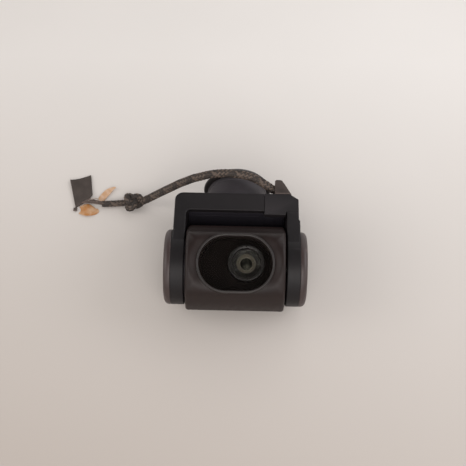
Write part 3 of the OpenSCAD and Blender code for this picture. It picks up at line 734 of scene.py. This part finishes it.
def frames_along(route):
    """(point, side, up) at each point of a route, turning as little as possible."""
    result = []
    side = None
    for i, point in enumerate(route):
        heading = (route[min(i + 1, len(route) - 1)] - route[max(i - 1, 0)]).normalized()
        if side is None:
            side = heading.orthogonal().normalized()
        side = (side - heading * side.dot(heading)).normalized()
        result.append((point, side, heading.cross(side)))
    return result


def tube(name, route, radius, sides):
    """Tube along a route. Its radius may be a function of the part of the length, from 0 to 1."""
    rings = []
    for i, (point, side, up) in enumerate(frames_along(route)):
        r = radius(i / (len(route) - 1)) if callable(radius) else radius
        rings.append([point + (side * math.cos(a) + up * math.sin(a)) * r
                      for a in (2 * math.pi * k / sides for k in range(sides))])
    return loft(name, rings)


BRAID_STEP = 0.17        # between rings of the braid
BRAID_PITCH = 6.0        # length in which a strand goes once round
BRAID_CARRIERS = 6       # strands each way
STRAND_WIDTH = 0.30      # half a strand's width, as a part of the cable's radius
STRAND_THICK = 0.14      # half a strand's thickness
CORE_DEPTH = 0.2         # from the cable's outside to its core


def strand_rings(frames, radius, first, way):
    """Rings of one flat strand that goes round a core, over and under the strands that cross it."""
    rings = []
    for i, (point, side, up) in enumerate(frames):
        r = radius(i / (len(frames) - 1))
        turned = 2 * math.pi * i * BRAID_STEP / BRAID_PITCH
        a = first + way * turned
        lift = way * math.cos(BRAID_CARRIERS * turned) * STRAND_THICK * 0.6
        out = side * math.cos(a) + up * math.sin(a)
        round_it = up * math.cos(a) - side * math.sin(a)
        middle = point + out * (r - STRAND_THICK * 1.2 + lift)
        width, thick = round_it * STRAND_WIDTH * r, out * STRAND_THICK
        rings.append([middle + width * math.cos(b) + thick * math.sin(b)
                      for b in (math.pi * k / 4 for k in range(8))])
    return rings


def braided(name, points, radius):
    """Core with interlaced strands round it, following a smooth curve through the points."""
    route = smooth_route(points, BRAID_STEP)
    frames = frames_along(route)
    parts = [tube("core", route, lambda part: radius(part) - CORE_DEPTH, 12)]
    for way in (1, -1):
        for k in range(BRAID_CARRIERS):
            first = 2 * math.pi * k / BRAID_CARRIERS
            parts.append(loft("strand", strand_rings(frames, radius, first, way)))
    return merge(name, parts)


# ---------------------------------------------------------------- the cable and what is on it

RUN_ROUTE = [
    (10, 19.1, 7.4), (9.1, 19.1, 7.5), (7.7, 19.7, 8.2), (5.8, 20.4, 9.1), (3.8, 21.1, 9.7),
    (1.6, 21.7, 9.95), (-0.6, 22, 9.95), (-2.9, 22.2, 9.85), (-5.1, 22.3, 9.5), (-7.3, 22.5, 8.7),
    (-9.4, 22.8, 7.4), (-11.4, 23.4, 5.8), (-13.2, 23.9, 4), (-15, 24.5, 2.1), (-16.7, 25, 0.1),
    (-18.4, 25.6, -2), (-20.1, 26.2, -4.1), (-21.8, 26.6, -6), (-23.4, 26.7, -7.5),
    (-25, 26.5, -8.5), (-26.2, 26.4, -8.9),
]
BUNDLE_ROUTE = [
    (-30.8, 26.1, -9.45), (-31.8, 26, -9.52), (-32.8, 25.9, -9.55), (-33.8, 25.8, -9.55),
    (-34.8, 25.75, -9.55), (-35.8, 25.7, -9.55), (-36.8, 25.7, -9.55),
]
CABLE_RADIUS = 1.05
BUNDLE_RADIUS = 0.85
KNOT_CABLE_RADIUS = 0.88
BUNDLE_END = Vector(BUNDLE_ROUTE[-1])
WIRE_COUNT = 9
WIRE_RADIUS = 0.17
BOARD_TOP = 0.9          # the connector board's upper face, above the floor


def cable_radius(part):
    """Full along the run, thinner beyond the knot."""
    thin = min(1, max(0, (part - 0.80) / 0.06))
    return CABLE_RADIUS + (BUNDLE_RADIUS - CABLE_RADIUS) * thin * thin * (3 - 2 * thin)


def make_cable():
    route = RUN_ROUTE + BUNDLE_ROUTE
    cable = braided("braided_cable", route, cable_radius)
    give(cable, "yoke", "cable_braid", ("cable_run", "cable_bundle"), angle=50)
    path = smooth_route(route, 0.5)
    length = sum((b - a).length for a, b in zip(path, path[1:]))
    return cable, [BODY_PLACE @ point for point in path], length * MM


KNOT_MIDDLE = Vector((-28.3, 26.2, -8.9))
KNOT_SIZE = (0.72, 0.80, 0.62)       # half reach of the loops along X, Y and Z
KNOT_TURN = math.radians(18)


def make_knot():
    """Overhand knot, drawn up tight, as a closed loop that passes through itself."""
    points = []
    steps = 40
    for k in range(steps + 1):
        a = 2 * math.pi * k / steps
        x = math.sin(a) + 2 * math.sin(2 * a)
        y = math.cos(a) - 2 * math.cos(2 * a)
        flat = Vector((x, y)) @ Matrix.Rotation(KNOT_TURN, 2)
        points.append(KNOT_MIDDLE + Vector((flat.x * KNOT_SIZE[0], flat.y * KNOT_SIZE[1],
                                            -math.sin(3 * a) * KNOT_SIZE[2])))
    knot = braided("cable_overhand_knot", points, lambda part: KNOT_CABLE_RADIUS)
    return give(knot, "yoke", "cable_braid", ("cable_knot",), angle=50)


def make_wires():
    """Fine coaxial wires that fan out of the bundle and are soldered to the board."""
    draw = random.Random(4)
    parts = []
    for k in range(WIRE_COUNT):
        part = k / (WIRE_COUNT - 1)
        start = BUNDLE_END + Vector((0.6, 0.45 - 0.9 * part, draw.uniform(-0.15, 0.3)))
        end = Vector((-40.2 - 1.9 * part, 27.4 - 1.3 * part, FLOOR + BOARD_TOP * 0.75))
        middle = start.lerp(end, 0.5) + Vector((draw.uniform(-0.3, 0.3), draw.uniform(-0.5, 0.7),
                                                draw.uniform(0, 0.5)))
        bend = start.lerp(end, 0.2) + Vector((-0.2, 0, 0.1))
        route = smooth_route([start, bend, middle, end], 0.3)
        parts.append(tube("wire", route, WIRE_RADIUS, 8))
        parts.append(tube("solder", smooth_route([end, end + Vector((-0.35, 0.12, -0.05))], 0.2),
                          lambda along: 0.26 - 0.16 * along, 8))
    return give(merge("coaxial_wires", parts), "yoke", "coax_jacket", ("coax_wires",), angle=50)


BOARD_FOOT = (Vector((-44, 24.6)), Vector((-40.3, 27.2)), Vector((-39.8, 29.2)))
BOARD_HEAD = (Vector((-46.5, 33.9)), Vector((-44.3, 34.1)), Vector((-40.9, 35.9)))


def bent(points, part):
    """Point at a part, 0 to 1, of a curve between two ends that is drawn to its middle point."""
    a, b, c = points
    return a * (1 - part) ** 2 + b * 2 * part * (1 - part) + c * part * part


def make_board():
    """Dark stiffener with a drawn-up corner, a lug at its lower left, a film tip at its upper left."""
    def place(u, v):
        foot = bent(BOARD_FOOT, u)
        head = bent(BOARD_HEAD, u)
        flat = foot.lerp(head, v)
        lift = 0.28 * (1 - u) ** 3 * v ** 4 + 0.06 * math.sin(3 * v + 2 * u) + 0.08
        return Vector((flat.x, flat.y, FLOOR + lift))

    def tip_place(u, v):
        return Vector((-46.0 - 0.55 * v + 0.35 * u * (1 - v), 33.3 + v, FLOOR + 0.35 + 0.3 * v * v))

    board = sheet_solid("stiffener_board", 14, 18, place, 0.42)
    modifier = board.modifiers.new("bevel", "BEVEL")
    modifier.width = 0.09
    modifier.segments = 2
    modifier.limit_method = "ANGLE"
    modifier.angle_limit = math.radians(50)
    bake(board)
    corner = box("connector_corner", (-44.5, 23.6, FLOOR + 0.02), (-43.5, 24.5, FLOOR + 0.6), 0.14)
    tip = sheet_solid("film_tip", 2, 6, tip_place, 0.12)
    pale = film_material("pale_film", (0.55, 0.5, 0.42), (0.42, 0.37, 0.3))
    give(corner, "yoke", "connector_plastic", ())
    give(tip, "yoke", "flex_film", (), material=pale)
    give(board, "yoke", "connector_plastic", ("connector_board",))
    return [board, corner, tip]


def make_tails():
    """Two amber film tails: a broad one curled below the wires and a narrow one that points away."""
    def broad(u, v):
        x = -43.0 + 5.0 * u + 0.5 * math.sin(math.pi * v)
        near = 22.0 + 0.9 * (2 * u - 1) ** 2
        far = 24.6 + 1.5 * math.sin(math.pi * min(1, u + 0.1))
        lift = 0.32 * math.sin(math.pi * u) * (1 - v) + 0.05
        return Vector((x, near + (far - near) * v, FLOOR + lift))

    spine = smooth_route([(-37.5, 27.0), (-36.9, 28.4), (-36.0, 29.7), (-35.0, 30.8), (-34.0, 31.4),
                          (-33.3, 31.4)], 0.3)

    def narrow(u, v):
        i = min(len(spine) - 2, int(v * (len(spine) - 1)))
        heading = (spine[i + 1] - spine[i]).normalized()
        across = Vector((heading.y, -heading.x))
        half = 0.95 - 0.75 * max(0, v - 0.6) / 0.4
        flat = spine[i] + across * (2 * u - 1) * half
        return Vector((flat.x, flat.y, FLOOR + 0.06 + 0.35 * v + 0.25 * v * v))

    tails = [sheet_solid("broad_film_tail", 16, 12, broad, 0.1),
             sheet_solid("narrow_film_tail", 4, 16, narrow, 0.1)]
    pale = film_material("pale_amber_film", (0.62, 0.43, 0.30), (0.55, 0.33, 0.19), 0.8)
    give(tails[0], "yoke", "flex_film", ("flex_tails",), angle=60)
    give(tails[1], "yoke", "flex_film", ("flex_tails",), material=pale, angle=60)
    return tails


def make_cord():
    cable, path, length = make_cable()
    on_it = [make_knot(), make_wires()] + make_board() + make_tails()
    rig.cord(cable, exit=path[0], length=length, diameter=2 * CABLE_RADIUS * MM, far_end="connector",
            stiffness="medium", lay="loose", path=path, with_pieces=on_it)


# ---------------------------------------------------------------- yoke

ARM_IN = 12.5
ARM_OUT = 15.5
ARM_STEP = 8.9           # in front of it the right arm is as wide as its drum
DRUM_OUT = 15.8
DRUM_BORE = 7.9
CAP_R = 9.3
YOKE_TOP = 9
UNDER_TOP = 7.8          # below the bridge's top wall
BACK_WALL = 0.8
BRIDGE_FRONT = reach("yoke_inner_cover", LOW, Y)
BRIDGE_REAR = reach("yoke_frame", HIGH, Y)
CAP_OUT = reach("right_cap", HIGH, X)
SEAM_X = reach("cable_cover", LOW, X)
CORNER_ROUND = 2.1
CORNER_CUT = (2.2, 1.6)
BAY_HALF = 12
BAY_BASE = -9.3
LIP = 1.1
SEAM_GAP = 0.06
YOKE_EDGE = 0.35
DRUM_EDGE = 0.3
RIBBON_BORE = 2.4
ROUND_STEPS = 160        # round the drums, their caps and the flange
TURNS = {"right": ALONG_X, "left": MIRROR_X @ ALONG_X}


def bridge_corners():
    """The bridge's rear corners as seen from above, from left to right."""
    return [(-ARM_OUT, BRIDGE_REAR, CORNER_ROUND), (ARM_OUT - CORNER_CUT[0], BRIDGE_REAR, 0.5),
            (ARM_OUT, BRIDGE_REAR - CORNER_CUT[1], 0.5)]


def drum(turn):
    """Round end of an arm, about the pitch axis."""
    profile = ([(0, ARM_IN), (CAP_R - DRUM_EDGE, ARM_IN)]
               + arc(CAP_R - DRUM_EDGE, ARM_IN + DRUM_EDGE, DRUM_EDGE, -90, 0, 4)
               + arc(CAP_R - 0.15, DRUM_OUT - 0.15, 0.15, 0, 90, 3) + [(0, DRUM_OUT)])
    return lathe("drum", profile, turn, ROUND_STEPS)


def make_yoke():
    rear = bridge_corners()
    plan = rounded([(-ARM_OUT, 0, 0)] + rear + [
        (ARM_OUT, ARM_STEP + 0.3, 0.3), (DRUM_OUT, ARM_STEP - 0.3, 0.3), (DRUM_OUT, 0, 0),
        (ARM_IN, 0, 0), (ARM_IN, BRIDGE_FRONT, 0.7), (-ARM_IN, BRIDGE_FRONT, 1.2), (-ARM_IN, 0, 0)], 8)
    yoke = slab("yoke_body", plan, -YOKE_TOP, YOKE_TOP, YOKE_EDGE)
    foot_plan = rounded([(-ARM_OUT, BRIDGE_FRONT, 0.3)] + rear + [(ARM_OUT, BRIDGE_FRONT, 0.3)], 8)
    foot = slab("foot", foot_plan, FLOOR, -YOKE_TOP + 1, 0.3)
    combine(yoke, [foot] + [drum(turn) for turn in TURNS.values()], "UNION")
    seam, front, inside = SEAM_X - SEAM_GAP, BRIDGE_FRONT - SEAM_GAP, ARM_IN - 0.1
    cover_edge = [(seam, BRIDGE_FRONT - 3), (seam, BRIDGE_REAR + 2), (ARM_OUT + 2, BRIDGE_REAR + 2),
                  (ARM_OUT + 2, front), (inside, front), (inside, BRIDGE_FRONT - 3)]
    bay = ((-BAY_HALF, BRIDGE_FRONT - 1, BAY_BASE), (BAY_HALF, BRIDGE_REAR - BACK_WALL, UNDER_TOP))
    tools = [
        prism("cover_room", cover_edge, UNDER_TOP, YOKE_TOP + 3),
        box("bay", *bay),
        cylinder("left_bore", DRUM_BORE, -DRUM_OUT - 1, -ARM_IN + 1, ALONG_X),
        cylinder("right_bore", DRUM_BORE, ARM_IN + 0.8, DRUM_OUT + 1, ALONG_X),
        cylinder("ribbon_bore", RIBBON_BORE, ARM_IN - 1, ARM_IN + 2, ALONG_X, 48),
        box("ribbon_way", (13.3, 6, -1.6), (14.9, BRIDGE_FRONT + 2, 1.6)),
    ]
    combine(yoke, tools)
    seat_profile = [(3.5, 13.25), (4.3, 13.25), (4.3, 15.2), (4.2, 15.3), (3.5, 15.3)]
    seat = lathe("bearing_seat", seat_profile, ALONG_X, 64)
    yoke = merge("yoke_body", [yoke, seat])
    give(yoke, "yoke", "yoke_plastic", ("yoke_frame",))


def make_cover():
    """Separate cover on the right of the bridge's top, with a lip over its front face."""
    inside = ARM_IN - 0.2
    plan = rounded([(SEAM_X, BRIDGE_FRONT - LIP, 0.15), (SEAM_X, BRIDGE_REAR, 0.2)]
                   + bridge_corners()[1:] + [(ARM_OUT, BRIDGE_FRONT, 0.2), (inside, BRIDGE_FRONT, 0.2),
                                             (inside, BRIDGE_FRONT - LIP, 0.25)], 5)
    cover = slab("cable_cover_plate", plan, UNDER_TOP, YOKE_TOP, 0.16, 3)
    # the cover takes the lighter copy of the yoke plastic, painted light for the bridge's brighter right end
    give(cover, "yoke", "yoke_plastic", ("cable_cover",), material=MATERIALS["cover_plastic"])


def make_hood():
    """Hood at the right rear that the cable comes out of, towards the left."""
    low, high, wall = 5.2, 9.2, 0.7
    exit_y, exit_z = RUN_ROUTE[0][1:]
    plan = rounded([(9.6, BRIDGE_REAR, 0), (9.6, 21.1, 0.5), (11.3, 21.1, 0.8), (12.2, 19.6, 0.8),
                    (13.7, BRIDGE_REAR, 0)], 6)
    hood = slab("cable_outlet_hood", plan, low, high, 0.4)
    room = box("room", (10.3, BRIDGE_REAR - 1, low + wall), (11.6, 19.9, high - wall))
    mouth = cylinder("mouth", CABLE_RADIUS + 0.12, 9, 11,
                     Matrix.Translation((0, exit_y, exit_z)) @ ALONG_X, 40)
    combine(hood, [room, mouth])
    give(hood, "yoke", "hood_plastic", ("cable_hood",))


def make_inner_cover():
    """Plate in front of the bridge's hollow, with a pad and ribs at its right and a rail above."""
    gap = 0.05
    top = UNDER_TOP - gap
    front = BRIDGE_FRONT
    root = front + 0.2
    plate = box("inner_cover_plate", (-BAY_HALF + gap, front, BAY_BASE + gap),
                (BAY_HALF - gap, front + 0.8, top), 0.1)
    parts = [plate, box("pad", (7.2, front - 0.16, 3.4), (9.4, root, 6.0), 0.1)]
    for x in (11.35, 11.75):
        parts.append(box("rib", (x, front - 0.2, -6), (x + 0.16, root, top - 0.6), 0.05))
    parts.append(box("rail", (-BAY_HALF + 0.6, front - 0.12, 6.2), (5.6, root, 6.5), 0.06))
    give(merge("inner_cover_plate", parts), "yoke", "inner_cover_plastic", ("yoke_inner_cover",))


def make_caps():
    """Round end caps with a wide rounded rim and a shallow dish in the outer face."""
    rim = 1.3
    dish = CAP_OUT - 0.16
    under = CAP_OUT - 0.7
    for name, turn in TURNS.items():
        profile = ([(DRUM_BORE, DRUM_OUT)] + arc(CAP_R - 0.12, DRUM_OUT + 0.12, 0.12, -90, 0, 3)
                   + arc(CAP_R - rim, CAP_OUT - rim, rim, 0, 90, 9)
                   + [(6.9, CAP_OUT), (6.7, CAP_OUT - 0.06), (6.5, dish), (0, dish),
                      (0, under), (DRUM_BORE, under)])
        cap = lathe(name + "_end_cap", profile, turn, ROUND_STEPS)
        give(cap, "yoke", "cap_plastic", (name + "_cap",))


# ---------------------------------------------------------------- motor and flange

def make_motor():
    """The roll motor's can, with a fine groove near its rear rim."""
    radius = reach("roll_bell", HIGH, X)
    end = reach("roll_bell", HIGH, Y)
    front = BRIDGE_REAR
    bore, inside, disc = 0.75, radius - 0.6, front + 0.9
    round_front, round_rear, groove = 0.45, 0.2, radius - 0.07
    profile = ([(bore, front), (radius - round_front, front)]
               + arc(radius - round_front, front + round_front, round_front, -90, 0, 5)
               + [(radius, end - 1.5), (groove, end - 1.42), (groove, end - 1.28), (radius, end - 1.2)]
               + arc(radius - round_rear, end - round_rear, round_rear, 0, 90, 4)
               + [(inside, end), (inside, disc), (bore, disc)])
    give(lathe("motor_can", profile, ALONG_Y, 192), "yoke", "rotor_metal", ("roll_bell",))


FLANGE_THICK = 1.6
FLANGE_BORE = 2
FLANGE_TUBE = 2.6
HOLE_CIRCLE = 6          # radius that the three mounting holes are on
HOLE_R = 0.85


def make_flange():
    """Round mounting flange with a bevelled rear rim, a centre hole and three countersunk holes."""
    rim = reach("roll_mount", HIGH, X)
    far = reach("roll_mount", HIGH, Y)
    near = far - FLANGE_THICK
    tube_end = reach("roll_mount", LOW, Y)
    step = far - 0.15
    profile = ([(FLANGE_BORE, tube_end), (FLANGE_TUBE, tube_end), (FLANGE_TUBE, near), (rim - 0.3, near)]
               + arc(rim - 0.3, near + 0.3, 0.3, -90, 0, 4)
               + [(rim, near + 0.5), (rim - 0.05, near + 0.6), (rim - 0.85, far - 0.03),
                  (rim - 0.95, far), (3.6, far), (3.4, step), (2.8, step), (FLANGE_TUBE, far),
                  (FLANGE_BORE, far)])
    flange = lathe("mounting_flange", profile, ALONG_Y, ROUND_STEPS)
    sink = [(0, far - 0.25), (HOLE_R, far - 0.25), (1.15, far + 0.05), (1.15, far + 1), (0, far + 1)]
    holes = []
    for k in range(3):
        a = math.radians(-90 + 120 * k)
        place = Matrix.Translation((HOLE_CIRCLE * math.cos(a), 0, -HOLE_CIRCLE * math.sin(a))) @ ALONG_Y
        holes.append(cylinder("hole", HOLE_R, near - 1, far + 1, place, 40))
        holes.append(lathe("countersink", sink, place, 40))
    combine(flange, holes)
    give(flange, "roll_base", "flange_metal", ("roll_mount",))


# ---------------------------------------------------------------- camera head

HEAD_R = 10.5
HEAD_HALF = 12.1
HEAD_ROUND = 0.9
HEAD_WALL = 0.9
FACE = 9.8
RIM_W = 9.35
RIM_H = 7
PAD_H = 7.9
SPLIT = 1                # height above the pitch axis at which the two shells meet
SPLIT_GAP = 0.004        # half the gap between them, in radians
SCREW_WELLS = [(x, y) for x in (-9.6, 9.6) for y in (-7.4, 7.4)]


def smooth_max(a, b, width):
    h = max(width - abs(a - b), 0) / width
    return max(a, b) + h * h * width / 4


def smooth_min(a, b, width):
    return -smooth_max(-a, -b, width)


def stadium_distance(x, y, w, h):
    return math.hypot(max(abs(x) - (w - h), 0), y) - h


def head_form(x, y, z):
    """Negative inside the camera head: a barrel with a raised flat front and a dish round the window."""
    out = math.hypot(y, z) - HEAD_R + HEAD_ROUND
    end = abs(x) - HEAD_HALF + HEAD_ROUND
    barrel = math.hypot(max(out, 0), max(end, 0)) + min(max(out, end), 0) - HEAD_ROUND
    side = abs(x) - HEAD_HALF + 0.3
    wall = smooth_max(y - PAD_H, side, 0.5)
    skirt = 0.4 * z - 0.92 * y - HEAD_R + 0.5
    front = smooth_max(smooth_max(wall, skirt, 0.6), z - FACE, 3.2)
    body = smooth_min(barrel, front, 1.2)
    dish = smooth_max(stadium_distance(x, y, RIM_W + 1.1, RIM_H + 0.45), FACE - 0.1 - z, 1.8)
    return smooth_max(body, -dish, 1.6)


def head_radius(x, angle):
    """Distance from the pitch axis at which a ray leaves the camera head."""
    low, high = 8.0, 13.5
    for _ in range(22):
        middle = (low + high) / 2
        if head_form(x, middle * math.sin(angle), middle * math.cos(angle)) < 0:
            low = middle
        else:
            high = middle
    return low


def head_stations():
    """Places along the barrel, closer together where its rims are rounded."""
    inner = HEAD_HALF - HEAD_ROUND
    rim = [inner + HEAD_ROUND * math.sin(math.pi / 2 * k / 7) for k in range(1, 8)]
    middle = [-inner + 2 * inner * k / 64 for k in range(65)]
    return [-x for x in rim[::-1]] + middle + rim


def shell(name, radius, first, last, steps):
    """Closed half barrel: an outer skin from radius(x, angle) and an inner one a wall deeper."""
    angles = [first + (last - first) * k / steps for k in range(steps + 1)]
    least = HEAD_R - HEAD_ROUND + 0.02
    skins = []
    for inner in (False, True):
        skin = []
        for x in head_stations():
            row = []
            for angle in angles:
                r = HEAD_R - HEAD_WALL if inner else max(radius(x, angle), least)
                row.append((x, r * math.sin(angle), r * math.cos(angle)))
            skin.append(row)
        skins.append(skin)
    return solid_between(name, skins)


def stadium(w, h, z):
    """Ring of points round an outline with straight sides and half-round ends."""
    ring = []
    steps = 28
    for side in (1, -1):
        for k in range(steps + 1):
            a = math.pi * (k / steps - 0.5)
            ring.append((side * ((w - h) + h * math.cos(a)), side * h * math.sin(a), z))
    return ring


def stadium_loft(name, profile, closed=True):
    """Profile of (offset from the window rim, height) points swept round the window."""
    return loft(name, [stadium(RIM_W + offset, RIM_H + offset, z) for offset, z in profile], closed)


LIP_OUTER = 0.22         # the window lip's sides, from the window rim
LIP_INNER = -0.4
LIP_BASE = 8.3
LIP_TOP = 10.0


def make_head_shells():
    edge = math.acos(SPLIT / HEAD_R)
    front = shell("camera_front_shell", head_radius, -edge + SPLIT_GAP, edge - SPLIT_GAP, 112)
    gap = LIP_OUTER + 0.02
    combine(front, [stadium_loft("window_cut", [(gap, 4), (gap, 13)], False)])
    give(front, "camera_head", "head_plastic", ("head_front_shell",), HEAD_PLACE, angle=40)

    def round_body(x, angle):
        end = abs(x) - HEAD_HALF + HEAD_ROUND
        return HEAD_R - HEAD_ROUND + math.sqrt(max(0, HEAD_ROUND ** 2 - max(end, 0) ** 2))

    rear = shell("camera_rear_shell", round_body, edge + SPLIT_GAP, 2 * math.pi - edge - SPLIT_GAP, 96)
    combine(rear, [cylinder("well", 1.15, -12, -3.2, Matrix.Translation((x, y, 0)), 40)
                   for x, y in SCREW_WELLS])
    give(rear, "camera_head", "head_plastic", ("head_rear_shell",), HEAD_PLACE, angle=40)


def make_bezel():
    """Thin lip round the window, round on top, with the glass inside it."""
    half = (LIP_OUTER - LIP_INNER) / 2
    crown = arc(LIP_INNER + half, LIP_TOP - half, half, 0, 180, 9)
    bezel = stadium_loft("window_lip", [(LIP_OUTER, LIP_BASE)] + crown + [(LIP_INNER, LIP_BASE)])
    give(bezel, "camera_head", "bezel_plastic", ("window_bezel",), HEAD_PLACE, angle=50)


LENS_PLACE = HEAD_PLACE @ Matrix.Translation((2.65, 0.4, 0))
LENS_R = 4.45
LENS_STEPS = 128
BARREL_FRONT = 7.6
CONE_R = 3.4             # the grooved cone's wide and narrow ends
CONE_END = 2.4
GROOVES = 5
ELEMENT_R = 3.38
ELEMENT_DOME = 5.1       # radius of the front element's outer face
ELEMENT_TOP = 7.9


def lens_lathe(name, profile):
    return lathe(name, profile, Matrix(), LENS_STEPS)


def make_lens():
    """Lens barrel with a grooved cone, its front ring, and the bright ring round the dark pupil."""
    cone = []
    for k in range(GROOVES):
        r = CONE_R - k / GROOVES
        z = 6.55 - 0.6 * k / GROOVES
        cone += [(r, z), (r - 0.14, z - 0.03), (r - 0.17, z - 0.1)]
    outer = [(2.9, -2.6), (3.5, -2.6), (3.5, 2), (LENS_R, 2), (LENS_R, BARREL_FRONT - 0.1),
             (LENS_R - 0.12, BARREL_FRONT), (3.42, BARREL_FRONT)]
    barrel = lens_lathe("lens_barrel_body", outer + cone + [(CONE_END, 5.9), (CONE_END, 2), (2.9, 2)])
    give(barrel, "camera_head", "lens_barrel_plastic", ("lens_barrel",), LENS_PLACE)
    profile = ([(3.45, BARREL_FRONT), (LENS_R, BARREL_FRONT)] + arc(LENS_R - 0.2, 7.9, 0.2, 0, 90, 5)
               + [(3.7, 8.1), (3.6, 8.05), (3.45, 7.7)])
    ring = lens_lathe("lens_front_ring", profile)
    give(ring, "camera_head", "lens_ring_metal", ("lens_retaining_ring",), LENS_PLACE)
    profile = ([(1.45, 5.1), (2.38, 5.1), (2.38, 5.3), (2.02, 5.32)] + arc(1.72, 5.35, 0.27, 0, 150, 8)
               + [(1.45, 5.3)])
    stop = lens_lathe("pupil_ring", profile)
    bright = metal("pupil_ring_coating", (0.135, 0.118, 0.086), 0.5, 0.2)
    give(stop, "camera_head", "baffle_plastic", ("aperture_stop",), LENS_PLACE, bright)
    slope = math.degrees(math.acos(ELEMENT_R / ELEMENT_DOME))
    crown = arc(0, ELEMENT_TOP - ELEMENT_DOME, ELEMENT_DOME, slope, 90, 16)[:-1]
    front = lens_lathe("front_element",
                       [(0, 6.0), (CONE_END, 6.0), (ELEMENT_R, 6.58)] + crown + [(0, ELEMENT_TOP)])
    give(front, "camera_head", "lens_glass", ("front_lens",), LENS_PLACE)


# ---------------------------------------------------------------- floor

def make_floor():
    """Pale plain table, with painted shade that darkens its colour towards the front and the left."""
    nodes = Nodes("table_top")
    where = nodes.place((20.0, 20.0, 20.0))
    cloud = nodes.noise(where, 0.6, 3)
    colours = nodes.ramp(cloud, [(0.3, (0.755, 0.728, 0.700)), (0.7, (0.785, 0.757, 0.730))])
    split = nodes.add("ShaderNodeSeparateXYZ")
    nodes.join(where, split.inputs["Vector"])
    # painted shade: the colour darkens towards the front and the left, standing in for the room light falling off
    # there
    near = nodes.levels(split.outputs["Y"], 1, 0, -1.6, 1.5)
    left = nodes.levels(split.outputs["X"], 0.2, 0, -1.4, 1.0)
    both = nodes.add("ShaderNodeMath", operation="ADD", use_clamp=True)
    nodes.join(near, both.inputs[0])
    nodes.join(left, both.inputs[1])
    nodes.feed("Base Color", nodes.mix(both.outputs[0], colours, (0.468, 0.419, 0.380)))
    nodes.set(Roughness=0.62)
    half = 3.0
    mesh = bpy.data.meshes.new("table_top")
    mesh.from_pydata([(-half, -half, 0), (half, -half, 0), (half, half, 0), (-half, half, 0)], [],
                     [(0, 1, 2, 3)])
    mesh.materials.append(nodes.material)
    floor = bpy.data.objects.new("table_top", mesh)
    bpy.context.scene.collection.objects.link(floor)
    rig.stage(floor)


dress_nodes()
make_cord()
make_yoke()
make_cover()
make_hood()
make_inner_cover()
make_caps()
make_motor()
make_flange()
make_head_shells()
make_bezel()
make_lens()
make_floor()

seen_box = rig.bounds()
with open("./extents.json", "w") as size_file:
    json.dump({"cad": [list(corner) for corner in cad_box],
               "visual": [list(corner) for corner in seen_box]}, size_file)
